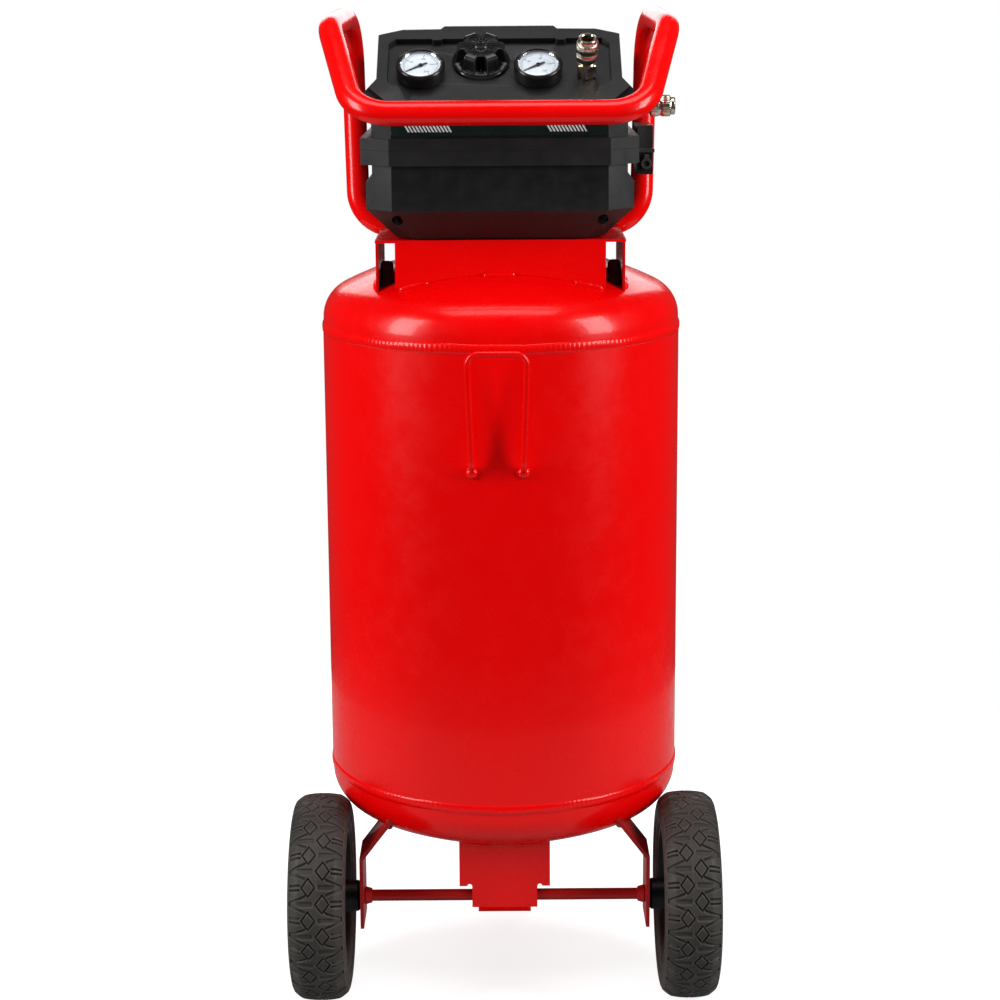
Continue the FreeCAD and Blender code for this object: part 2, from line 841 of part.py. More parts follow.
def upper_form(name, inset, roof):
    """The upper shroud as a solid: plan outline, side profile and front profile in common."""
    base = D.parting + 0.1 - inset
    plan = shroud_plan(inset)
    tower = shroud_plan(inset, D.tower_half, D.shroud_rear - 10, length(16))
    lift = 1013 - inset
    wall = padded(f"{name}Wall", "XY_Plane", [plan], D.shoulder - base, base)
    shoulder = lofted(f"{name}Shoulder", plan, D.shoulder, tower, lift)
    top = padded(f"{name}Tower", "XY_Plane", [tower], 60, lift)
    stack = fuse(f"{name}Stack", [wall, shoulder, top])
    front = D.shroud_front + 1
    profile = [
        (-front, base - 1),
        (-front, D.panel_low - 0.7 - roof),
        (D.panel_run - D.shroud_front, D.panel_high - roof),
        (D.panel_run - D.shroud_front + 5.6, D.panel_high + 4 - roof),
        (-24, D.panel_high + 4 - roof),
        (124, D.panel_high - 44 - inset),
        (140, D.panel_high - 61 - inset),
        (140, base - 1),
    ]
    side = padded(f"{name}Side", "YZ_Plane", [profile], 320, -160)
    face = mirrored([
        (160, base - 1),
        (160, D.panel_high - 16 - inset),
        (D.tower_half, D.panel_high - 4.5 - inset),
        (103, D.panel_high + 0.5 - inset),
        (62, D.panel_high + 1 - inset),
        (58, D.panel_high + 4 - inset),
    ])
    front_view = padded(f"{name}Face", "XZ_Plane", [face], 320, -160)
    return common(f"{name}Form", common(f"{name}Cut", stack, side), front_view)


def upper_shroud():
    outer = upper_form("UpperOuter", 0.0, 0.0)
    outer = cut("UpperCarved", outer, side_notches("UpperNotch", 953.1, 976, False))
    band = padded(
        "UpperBand",
        "XY_Plane",
        [shroud_plan(-DIMENSIONS["band_proud"])],
        D.band_top - D.parting - 0.1,
        D.parting + 0.1,
    )
    outer = fuse("UpperSkin", [outer, band])
    inner = upper_form("UpperInner", DIMENSIONS["shroud_wall"], 12.0)
    inner = cut("UpperCavity", inner, side_notches("UpperLiner", 950.1, 979, False, 3.0))
    tray = padded("Tray", "XY_Plane", [TRAY], 24, -D.tray_depth, on_panel(0, 0), PANEL_TURN)
    tools = [inner, tray]
    for label, x, up, radius in PANEL_HOLES:
        at = on_panel(x, up, -20)
        tools.append(cylinder(f"PanelHole{label}", radius, 30, at, PANEL_TURN))
    at = (120, -D.side_coupler_y, D.side_coupler_z)
    tools.append(cylinder("SideCouplerHole", 7, 40, at, "X"))
    tools += slots("UpperVent", 8, (20, 0, 0), (12, 30, 3.5), (-76, 115, 964))
    tools += slots("UpperGrille", 8, (20, 0, 0), (12, 30, 3.5), (-76, 115, 976))
    node(cut("UpperShroud", outer, tools), "upper_shroud")
    strip = box("Strip", (-112, -D.shroud_front - 0.6, 956), (112, -D.shroud_front, 984))
    node(strip, "label_strip")
    heads = []
    for number in range(4):
        x = -90 + 60 * number
        seat = D.shroud_rear + D.band_proud
        heads.append(cylinder(f"ScrewHead{number}", 4, 2.4, (x, seat, 933), "Y"))
    node(group("Screws", heads), "shroud_bolts")


TRAY = mirrored([
    (96, 8), (104.5, 31), (113, 33), (116.4, 40), (116.4, 103), (109, 110.5),
    (71, 110.5), (69, 108.3), (61.5, 108.3), (59.5, 110.5),
])
PANEL_HOLES = [
    ("GaugeLeft", -D.gauge_left, D.gauge_up, 20.5),
    ("GaugeRight", D.gauge_right, D.gauge_up, 20.5),
    ("Knob", -D.knob_left, D.knob_up, 12),
    ("Coupler", D.coupler_x, D.coupler_up, 7),
]


# ---------------------------------------------------------------- panel fittings

def gauges():
    radius, high = D.gauge_radius, D.gauge_height
    floor = 0.3 - D.tray_depth
    case_outline = [
        (0, -46), (5, -46), (5, -26), (20, -26), (20, floor), (radius - 1, floor),
        (radius, floor + 1.7), (radius, high - 1.5), (radius - 1.5, high), (21.6, high),
        (21.6, 5), (0, 5),
    ]
    for side, x in (("left", -D.gauge_left), ("right", D.gauge_right)):
        at = on_panel(x, D.gauge_up)
        name = side.title()
        case = revolved(f"GaugeCase{name}", case_outline, "V_Axis", at, PANEL_TURN)
        node(case, f"gauge_{side}_case")
        at = on_panel(x, D.gauge_up, 5)
        node(cylinder(f"GaugeDial{name}", 21.3, 0.6, at, PANEL_TURN), f"gauge_{side}_dial")
        at = on_panel(x, D.gauge_up, 8.4)
        node(cylinder(f"GaugeLens{name}", 21.3, 1.2, at, PANEL_TURN), f"gauge_{side}_lens")
        needle = padded(
            f"GaugeNeedle{name}",
            "XY_Plane",
            [[(-15.5, -9.9), (-15.2, -10.3), (1.2, -1.2), (7.2, 3.6), (6.2, 5.0), (-0.9, 1.3)]],
            0.5,
            at=on_panel(x, D.gauge_up, 6.2),
            turn=PANEL_TURN,
        )
        node(needle, f"gauge_{side}_needle")


def regulator():
    at = on_panel(-D.knob_left, D.knob_up)
    base = 0.6 - D.tray_depth
    body = [
        (0, -46), (11.5, -46), (11.5, base - 1.2), (5, base - 1.2), (5, 6), (0, 6),
    ]
    node(revolved("RegulatorBody", body, "V_Axis", at, PANEL_TURN), "regulator_body")
    radius, high = D.knob_radius, D.knob_height
    outline = [
        (5.05, base), (radius, base), (radius, base + 2.4), (27, base + 4),
        (26, high - 3), (22, high), (9, high), (8, high + 2), (0, high + 2), (0, 7), (5.05, 7),
    ]
    knob = revolved("Knob", outline, "V_Axis", at, PANEL_TURN)
    groove = [(-3.5, -13), (-6.5, -24), (-6.5, -32), (6.5, -32), (6.5, -24), (3.5, -13)]
    polar_pockets(knob, "Groove", groove, D.knob_height + 0.2, D.knob_height, 6)
    node(knob, "regulator_knob")
    low = on_panel(-100, 46, -62)
    bar = doc.addObject("Part::Box", "ManifoldBar")
    bind(bar, Length=212, Width=40, Height=16)
    node(place(bar, low, PANEL_TURN), "manifold")


def coupler(name, at, turn, stem):
    floor = 0.3 - D.tray_depth
    body = revolved(f"{name}Barrel", [
        (4, -stem), (6.5, -stem), (6.5, floor), (8, floor), (8, 36), (9.6, 36),
        (9.6, 39), (8.8, 40.5), (6.1, 40.5), (6.1, 16), (4, 16),
    ], "V_Axis", at, turn)
    nut = hexagon(f"{name}Hex", 19, 9.8 - floor, (0, 0, floor))
    hole = cylinder(f"{name}HexHole", 7.9, 30, (0, 0, -8))
    ring = cut(f"{name}Nut", nut, [hole])
    place(ring, at, turn)
    barrel = fuse(f"{name}Body", [body, ring])
    sleeve_outline = [
        (8.3, 14), (10.3, 14), (D.coupler_radius, 15.5), (D.coupler_radius, 22), (10.6, 23.2),
        (10.6, 25.6), (D.coupler_radius, 26.8), (D.coupler_radius, 34.5), (10.5, 35.7), (8.3, 35.7),
    ]
    sleeve = revolved(f"{name}Sleeve", sleeve_outline, "V_Axis", at, turn)
    return barrel, sleeve


def couplers():
    at = on_panel(D.coupler_x, D.coupler_up)
    barrel, sleeve = coupler("FrontCoupler", at, PANEL_TURN, 46)
    node(barrel, "coupler_front_body")
    node(sleeve, "coupler_front_sleeve")
    at = (D.shroud_half + D.tray_depth, -D.side_coupler_y, D.side_coupler_z)
    barrel, sleeve = coupler("SideCoupler", at, "X", 33.4)
    node(barrel, "coupler_side_body")
    node(sleeve, "coupler_side_sleeve")


# ---------------------------------------------------------------- switch, valves, pipes

def switch():
    case = box("SwitchCase", (149, -20, 905), (166.5, 40, 958))
    neck = box("SwitchNeck", (128, 2, 922), (149, 18, 938))
    step = box("SwitchStep", (147, -23, 929), (168, 34, 933))
    pivot = cylinder("LeverPin", 3, 6, (159, -24, 917), "Y")
    node(fuse("SwitchBody", [case, neck, step, pivot]), "pressure_switch")
    hub = cylinder("LeverHub", 6, 4, (159, -26, 917), "Y")
    arm = box("LeverArm", (156.5, -26, 917), (161.5, -22, 927))
    eye = cylinder("LeverEye", 3.05, 6, (159, -27, 917), "Y")
    node(cut("Lever", fuse("LeverBody", [hub, arm]), [eye]), "switch_lever")
    x, z = GLAND_AT
    collar = cylinder("GlandCollar", 7, 10, (x, D.shroud_rear + 0.1, z), "Y")
    neck = cylinder("GlandNeck", 5.5, 10.1, (x, D.shroud_rear - 10, z), "Y")
    hole = cylinder("GlandBore", 3.5, 40, (x, D.shroud_rear - 20, z), "Y")
    node(cut("Gland", fuse("GlandBody", [collar, neck]), [hole]), "cord_gland")


def bung(name, x, y, top=True):
    if top:
        base = top_skin(x, y)
        ring = cylinder(f"{name}Ring", 13, 14, (x, y, base - 10))
    else:
        base = bottom_skin(x, y)
        ring = cylinder(f"{name}Ring", 13, 14, (x, y, base - 4))
    hole = cylinder(f"{name}Hole", 5, 60, (x, y, base - 30))
    return cut(name, ring, [dome(f"{name}Trim", top), hole])


def valves():
    bungs = [bung("CheckBung", *CHECK_AT), bung("RiserBung", *RISER_AT)]
    bungs += [bung("SafetyBung", *SAFETY_AT), bung("DrainBung", 0, 50, False)]
    node(group("Bungs", bungs), "tank_bungs")
    x, y = CHECK_AT
    base = top_skin(x, y) + 4
    stem = cylinder("CheckStem", 9, 10, (x, y, base))
    nut = hexagon("CheckNut", 20, 16, (x, y, base + 10))
    node(fuse("CheckValve", [stem, nut]), "check_valve")
    x, y = SAFETY_AT
    base = top_skin(x, y) + 4
    lower = hexagon("SafetyNut", 17, 12, (x, y, base))
    barrel = cylinder("SafetyBarrel", 7, 16, (x, y, base + 12))
    pin = cylinder("SafetyPin", 2, 9, (x, y, base + 28))
    node(fuse("SafetyValve", [lower, barrel, pin]), "safety_valve")
    cap = cylinder("SafetyCap", 4.5, 5, (x, y, base + 33))
    socket = cylinder("SafetySocket", 2.05, 5, (x, y, base + 32.5))
    ring = torus("SafetyLoop", 9, 1.1, (x, y, base + 47), "Y")
    node(cut("SafetyPull", fuse("SafetyRingBody", [cap, ring]), [socket]), "safety_ring")
    x, y = 0, 50
    base = bottom_skin(x, y) - 4
    body = cylinder("DrainBody", 8, 24, (x, y, base - 24))
    spout = cylinder("DrainSpout", 5, 30, (x, y, base - 14), "Y")
    bore = cylinder("DrainBore", 3, 40, (x, y, base - 14), "Y")
    pin = cylinder("DrainPin", 3, 16, (x + 4, y, base - 14), "X")
    node(cut("Drain", fuse("DrainParts", [body, spout, pin]), [bore]), "drain_valve")
    hub = cylinder("DrainHub", 6, 4, (x + 14, y, base - 14), "X")
    arm = box("DrainArm", (x + 14, y, base - 17), (x + 18, y + 34, base - 11))
    eye = cylinder("DrainEye", 3.05, 10, (x + 12, y, base - 14), "X")
    node(cut("DrainLever", fuse("DrainLeverBody", [hub, arm]), [eye]), "drain_handle")


def pipes():
    x, y = CHECK_AT
    top = top_skin(x, y) + 30.1
    path = [
        (-91.2, 5, 1027), (-116, 5, 1027), (-116, 88, 1000), (-116, 88, 884), (x, y, 884),
        (x, y, top),
    ]
    node(bent_tube("Discharge", path, 5, 11, inner=3.8), "discharge_tube")
    x, y = RISER_AT
    low = top_skin(x, y) + 4.1
    path = [(x, y, low), (x, y, 866), (112, 72, 866), (112, 10, 930), (127.9, 10, 930)]
    node(bent_tube("Riser", path, 5, 9, inner=3.8), "riser_pipe")


# ---------------------------------------------------------------- motor and pump

def motor():
    height = D.motor_height
    plate = box("BasePlate", (-84, -84, 859), (78, 34, 862))
    cheek = box("Cradle", (4, -44, 862), (56, 44 - 10, 900))
    trough = cylinder("CradleTrough", D.stator_radius, 80, (-10, 0, height), "X")
    node(cut("Base", fuse("BaseBody", [plate, cheek]), [trough]), "motor_base")
    ring = cylinder("StatorRing", D.stator_radius, 70, (-5, 0, height), "X")
    hole = cylinder("StatorBore", D.rotor_radius + 1, 80, (-10, 0, height), "X")
    node(cut("Stator", ring, [hole]), "motor_stator")
    shaft = cylinder("ShaftRod", D.shaft_radius, 176, (-76, 0, height), "X")
    web = cylinder("CrankWeb", 17, 5, (-68, 0, height), "X")
    pin = cylinder("CrankPin", 6, 12, (-63, 0, height + D.crank_throw), "X")
    rotor = cylinder("RotorCore", D.rotor_radius, 70, (-5, 0, height), "X")
    node(fuse("Shaft", [shaft, web, pin]), "motor_shaft")
    bore = cylinder("RotorBore", D.shaft_radius, 90, (-15, 0, height), "X")
    node(cut("Rotor", rotor, [bore]), "motor_rotor")
    node(fan(height), "cooling_fan")
    can = cylinder("CapacitorCan", 17, 72, (-12, 88, 906), "X")
    node(can, "capacitor")


def fan(height):
    hub = cylinder("FanHub", 15, 18, (78, 0, height), "X")
    blades = []
    for number in range(9):
        blade = box(f"FanBlade{number}", (79, -1.2, 13), (95, 1.2, 56))
        angle = 40.0 * number
        turn = Rotation(Vector(1, 0, 0), angle)
        corner = turn.multVec(Vector(79, -1.2, 13))
        blades.append(place(blade, (corner.x, corner.y, corner.z + height), turn))
    hole = cylinder("FanBore", D.shaft_radius, 40, (70, 0, height), "X")
    return cut("Fan", fuse("FanBody", [hub] + blades), [hole])


def pump():
    height = D.motor_height
    block = box("CaseBlock", (-80, -40, 862), (-20, 34, 974))
    chamber = cylinder("CaseChamber", 31, 46, (-72, 0, height), "X")
    journal = cylinder("CaseJournal", D.shaft_radius + 0.06, 80, (-90, 0, height), "X")
    throat = cylinder("CaseThroat", 30, 60, (-55, 0, height))
    case = cut("Crankcase", block, [chamber, journal, throat])
    node(case, "crankcase")
    barrel = cylinder("Barrel", 33, 40, (-55, 0, 974))
    fins = [cylinder(f"Fin{number}", 37, 2, (-55, 0, 979 + 7 * number)) for number in range(5)]
    hole = cylinder("BarrelBore", D.bore_radius, 60, (-55, 0, 964))
    node(cut("Cylinder", fuse("BarrelBody", [barrel] + fins), [hole]), "pump_cylinder")
    plate = box("ValveSheet", (-91, -36, 1014), (-19, 36, 1018))
    node(plate, "valve_plate")
    head = box("HeadBlock", (-91, -34, 1018), (-19, 34, 1034))
    grooves = []
    for number in range(6):
        start = 10 * number - 27
        grooves.append(box(f"HeadGroove{number}", (-95, start, 1027), (-15, start + 4, 1050)))
    node(cut("Head", head, grooves), "cylinder_head")
    crown = cylinder("PistonCrown", D.bore_radius - 0.08, 9, (-55, 0, 993))
    rod = box("PistonRod", (-59, -6, 966), (-51, 6, 993))
    node(fuse("Piston", [crown, rod]), "piston")
    intake = cylinder("Intake", 12, 24, (-18.9, 0, 1028), "X")
    node(intake, "intake_filter")


tank()
saddle()
rubber_mounts()
handle()
hook()
struts()
axle()
axle_bracket()
wheels()
foot()
lower_shroud()
upper_shroud()
gauges()
regulator()
couplers()
switch()
valves()
pipes()
motor()
pump()
doc.recompute()

# ---------------------------------------------------------------- checks and export

for obj in doc.Objects:
    state = [word for word in obj.State if word in ("Invalid", "Error")]
    if state:
        raise RuntimeError(f"{obj.Label}: {state}")
for obj in NODES:
    shape = obj.Shape
    if shape.isNull() or not shape.isValid() or shape.Volume <= 0 or not shape.Solids:
        raise RuntimeError(f"{obj.Label}: no valid solid")
    shape.exportStep(f"parts/{obj.Label}.step")
whole = Part.makeCompound([obj.Shape for obj in NODES]).BoundBox
print(f"{len(NODES)} nodes")
print(f"X {whole.XMin:.2f} to {whole.XMax:.2f}")
print(f"Y {whole.YMin:.2f} to {whole.YMax:.2f}")
print(f"Z {whole.ZMin:.2f} to {whole.ZMax:.2f}")
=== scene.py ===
"""Looks for the portable air compressor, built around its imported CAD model."""
import math
import random

import bmesh
import bpy
from mathutils import Matrix, Vector


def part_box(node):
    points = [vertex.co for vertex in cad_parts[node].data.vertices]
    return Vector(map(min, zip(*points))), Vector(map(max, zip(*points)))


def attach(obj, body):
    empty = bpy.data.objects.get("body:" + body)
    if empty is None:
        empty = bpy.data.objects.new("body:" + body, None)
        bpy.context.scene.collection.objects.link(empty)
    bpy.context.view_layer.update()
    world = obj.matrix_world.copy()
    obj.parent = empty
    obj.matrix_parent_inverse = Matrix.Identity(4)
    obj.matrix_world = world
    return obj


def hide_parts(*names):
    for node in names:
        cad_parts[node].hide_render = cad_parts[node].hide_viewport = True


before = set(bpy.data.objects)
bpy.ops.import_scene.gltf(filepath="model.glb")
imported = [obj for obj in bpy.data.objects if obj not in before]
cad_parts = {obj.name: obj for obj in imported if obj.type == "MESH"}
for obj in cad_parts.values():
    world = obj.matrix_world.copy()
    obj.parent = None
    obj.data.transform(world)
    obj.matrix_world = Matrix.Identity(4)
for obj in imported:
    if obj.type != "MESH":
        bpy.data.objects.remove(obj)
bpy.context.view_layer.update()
MM = 0.001
LOW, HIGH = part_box("tank_shell")
AXIS_Y = (LOW.y + HIGH.y) / 2
SEAM_LOW, SEAM_HIGH = 242.0, 741.0
HEAD_RADIUS, HEAD_SKIRT, KNUCKLE, CROWN = 196.4, 10.0, 40.0, 394.0
AXLE_Y, AXLE_Z, WHEEL_X, WHEEL_RADIUS = -118.0, 113.5, 203.0, 113.5

# the panel: a slope that rises from the shroud's front edge
PANEL_FRONT, PANEL_LOW = -150.0, 988.0
PANEL_RUN, PANEL_RISE = 102.0, 73.0
PANEL_FLOOR = -5.7
GAUGE_LEFT_X, GAUGE_RIGHT_X, GAUGE_UP = -81.7, 40.6, 57.0
KNOB_X, KNOB_UP = -19.0, 77.3
COUPLER_X, COUPLER_UP = 91.0, 56.0
SIDE_COUPLER_AT = (146.0, -60.0, 981.0)

# places on the shroud and under it
GLAND_AT = (80.0, 130.1, 892.0)
SCREW_XS, SCREW_Y, SCREW_Z = (-90.0, -30.0, 30.0, 90.0), 135.0, 933.0
STRIP_FACE = -150.6
HATCH_SPANS, HATCH_PITCH = ((-101, -47), (45, 93)), 3.6
ISOLATORS = [(x, y) for x in (-62.0, 58.0) for y in (-72.0, 22.0)]
BUFFERS = [(x, -92.0) for x in (-121.0, 121.0)]


# ---------------------------------------------------------------- mesh helpers

class Place:
    """Where a shape drawn in its own millimetres stands on the machine, about the tank axis."""

    def __init__(self, origin=(0, 0, 0), x=(1, 0, 0), y=(0, 1, 0), z=(0, 0, 1)):
        self.origin = Vector(origin)
        self.axes = [Vector(x), Vector(y), Vector(z)]

    def __call__(self, point):
        at = self.origin.copy()
        for axis, value in zip(self.axes, point):
            at += axis * value
        return Vector((at.x * MM, at.y * MM + AXIS_Y, at.z * MM))


UPRIGHT = Place()
SLOPE = math.atan2(PANEL_RISE, PANEL_RUN)


def on_panel(x, up, out=0.0):
    """Place at x across and up the panel's slope, its z axis along the panel's normal."""
    cos, sin = math.cos(SLOPE), math.sin(SLOPE)
    origin = (x, up * cos - out * sin + PANEL_FRONT, up * sin + out * cos + PANEL_LOW)
    return Place(origin, (1, 0, 0), (0, cos, sin), (0, -sin, cos))


def make_object(name, mesh, body, material, nodes=(), sharp=35.0):
    mesh.polygons.foreach_set("use_smooth", [True] * len(mesh.polygons))
    mesh.set_sharp_from_angle(angle=math.radians(sharp))
    obj = bpy.data.objects.new(name, mesh)
    bpy.context.scene.collection.objects.link(obj)
    mesh.materials.clear()
    mesh.materials.append(material)
    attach(obj, body)
    if nodes:
        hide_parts(*nodes)
    return obj


def piece(name, parts, body, material, nodes=(), sharp=35.0):
    """One object from several (verts, faces) shapes."""
    verts, faces = [], []
    for part_verts, part_faces in parts:
        base = len(verts)
        verts.extend(part_verts)
        faces.extend([tuple(base + i for i in face) for face in part_faces])
    mesh = bpy.data.meshes.new(name)
    mesh.from_pydata(verts, [], faces)
    bm = bmesh.new()
    bm.from_mesh(mesh)
    bmesh.ops.remove_doubles(bm, verts=bm.verts, dist=1e-7)
    bmesh.ops.recalc_face_normals(bm, faces=bm.faces)
    bm.to_mesh(mesh)
    bm.free()
    return make_object(name, mesh, body, material, nodes, sharp)


def lathe(profile, place=UPRIGHT, segments=64, shape=None, ring=True):
    """Turn a profile of (radius, height) about the place's z axis.

    shape(angle, index, radius, height) may move a point and returns a new (radius, height).
    """
    verts, rows = [], []
    for index, (radius, height) in enumerate(profile):
        if radius < 1e-6:
            rows.append([len(verts)] * segments)
            verts.append(place((0, 0, height)))
            continue
        row = []
        for number in range(segments):
            angle = 2 * math.pi * number / segments
            r, h = (radius, height) if shape is None else shape(angle, index, radius, height)
            row.append(len(verts))
            verts.append(place((r * math.cos(angle), r * math.sin(angle), h)))
        rows.append(row)
    faces = []
    last = len(rows) if ring else len(rows) - 1
    for index in range(last):
        a, b = rows[index], rows[(index + 1) % len(rows)]
        if a[0] == a[-1] and b[0] == b[-1]:
            continue
        for number in range(segments):
            after = (number + 1) % segments
            corners = [a[number], a[after], b[after], b[number]]
            kept = []
            for corner in corners:
                if corner not in kept:
                    kept.append(corner)
            faces.append(tuple(kept))
    return verts, faces


def rounded_profile(points, radius=1.0, steps=3, closed=True):
    """The same profile with its corners rounded."""
    result = []
    count = len(points)
    for index, point in enumerate(points):
        here = Vector(point)
        if not closed and index in (0, count - 1) or here.x < 1e-6:
            result.append(tuple(here))
            continue
        back = Vector(points[index - 1]) - here
        ahead = Vector(points[(index + 1) % count]) - here
        reach = min(radius, back.length * 0.45, ahead.length * 0.45)
        start = here + back.normalized() * reach
        end = here + ahead.normalized() * reach
        for step in range(steps + 1):
            t = step / steps
            result.append(tuple(start * (1 - t) ** 2 + here * (2 * t * (1 - t)) + end * t ** 2))
    return result


def bent_path(corners, bend, arc_step=6.0, run_step=40.0):
    """Centre line through corners, with round bends."""
    points = [Vector(corner) for corner in corners]
    path = [points[0]]
    for number in range(1, len(points) - 1):
        corner = points[number]
        back = (points[number - 1] - corner).normalized()
        ahead = (points[number + 1] - corner).normalized()
        half = back.angle(ahead) / 2
        radius = bend[number - 1] if isinstance(bend, list) else bend
        reach = radius / math.tan(half)
        entry = corner + back * reach
        centre = corner + (back + ahead).normalized() * (radius / math.sin(half))
        sweep = math.pi - 2 * half
        steps = max(4, int(sweep * radius / arc_step))
        first = entry - centre
        axis = first.cross(corner + ahead * reach - centre).normalized()
        add_run(path, entry, run_step)
        for step in range(1, steps + 1):
            path.append(centre + Matrix.Rotation(sweep * step / steps, 3, axis) @ first)
    add_run(path, points[-1], run_step)
    return path


def add_run(path, end, step):
    start = path[-1]
    count = max(1, int((end - start).length / step))
    for number in range(1, count + 1):
        path.append(start.lerp(end, number / count))


def sweep(path, radius, place=UPRIGHT, segments=32, caps=True, wobble=None):
    """A round rod along a path; wobble(index, angle) may scale its radius."""
    verts, rows = [], []
    tangent = (path[1] - path[0]).normalized()
    normal = tangent.orthogonal().normalized()
    for index, point in enumerate(path):
        ahead = path[min(index + 1, len(path) - 1)] - path[max(index - 1, 0)]
        turned = tangent.rotation_difference(ahead.normalized())
        normal = (turned @ normal).normalized()
        tangent = ahead.normalized()
        side = tangent.cross(normal)
        row = []
        for number in range(segments):
            angle = 2 * math.pi * number / segments
            r = radius if wobble is None else radius * wobble(index, angle)
            row.append(len(verts))
            verts.append(place(point + (normal * math.cos(angle) + side * math.sin(angle)) * r))
        rows.append(row)
    faces = []
    for a, b in zip(rows, rows[1:]):
        for number in range(segments):
            after = (number + 1) % segments
            faces.append((a[number], a[after], b[after], b[number]))
    if caps:
        faces.append(tuple(reversed(rows[0])))
        faces.append(tuple(rows[-1]))
    return verts, faces


def prism(outline, low, high, place=UPRIGHT, chamfer=0.0):
    """A solid between two heights over a convex outline, with its rims chamfered."""
    centre = sum((Vector(p) for p in outline), Vector((0, 0))) / len(outline)

    def ring(height, shrink):
        row = []
        for point in outline:
            offset = Vector(point) - centre
            near = centre + offset * (1 - shrink / max(offset.length, 1e-6))
            row.append(place((near.x, near.y, height)))
        return row

    levels = [(low, chamfer), (low + chamfer, 0), (high - chamfer, 0), (high, chamfer)]
    if chamfer == 0:
        levels = [(low, 0), (high, 0)]
    verts, count = [], len(outline)
    for height, shrink in levels:
        verts.extend(ring(height, shrink))
    faces = [tuple(reversed(range(count)))]
    for level in range(len(levels) - 1):
        for number in range(count):
            after = (number + 1) % count
            a, b = level * count, (level + 1) * count
            faces.append((a + number, a + after, b + after, b + number))
    top = (len(levels) - 1) * count
    faces.append(tuple(range(top, top + count)))
    return verts, faces


def rounded_copy(node, width, material, body="machine", segments=2, name=None, sharp=30.0):
    """The CAD node's own shape with soft edges, standing for it."""
    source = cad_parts[node]
    bm = bmesh.new()
    bm.from_mesh(source.data)
    bmesh.ops.remove_doubles(bm, verts=bm.verts, dist=2e-6)
    bmesh.ops.dissolve_limit(
        bm, angle_limit=math.radians(0.6), verts=bm.verts, edges=bm.edges, use_dissolve_boundaries=False
    )
    bmesh.ops.recalc_face_normals(bm, faces=bm.faces)
    mesh = bpy.data.meshes.new(name or f"{node}_skin")
    bm.to_mesh(mesh)
    bm.free()
    obj = make_object(mesh.name, mesh, body, material, [node], sharp)
    bevel = obj.modifiers.new("edges", "BEVEL")
    bevel.width = width * MM
    bevel.segments = segments
    bevel.limit_method = "ANGLE"
    bevel.angle_limit = math.radians(28)
    bevel.use_clamp_overlap = True
    bevel.harden_normals = True
    return obj


# ---------------------------------------------------------------- material helpers

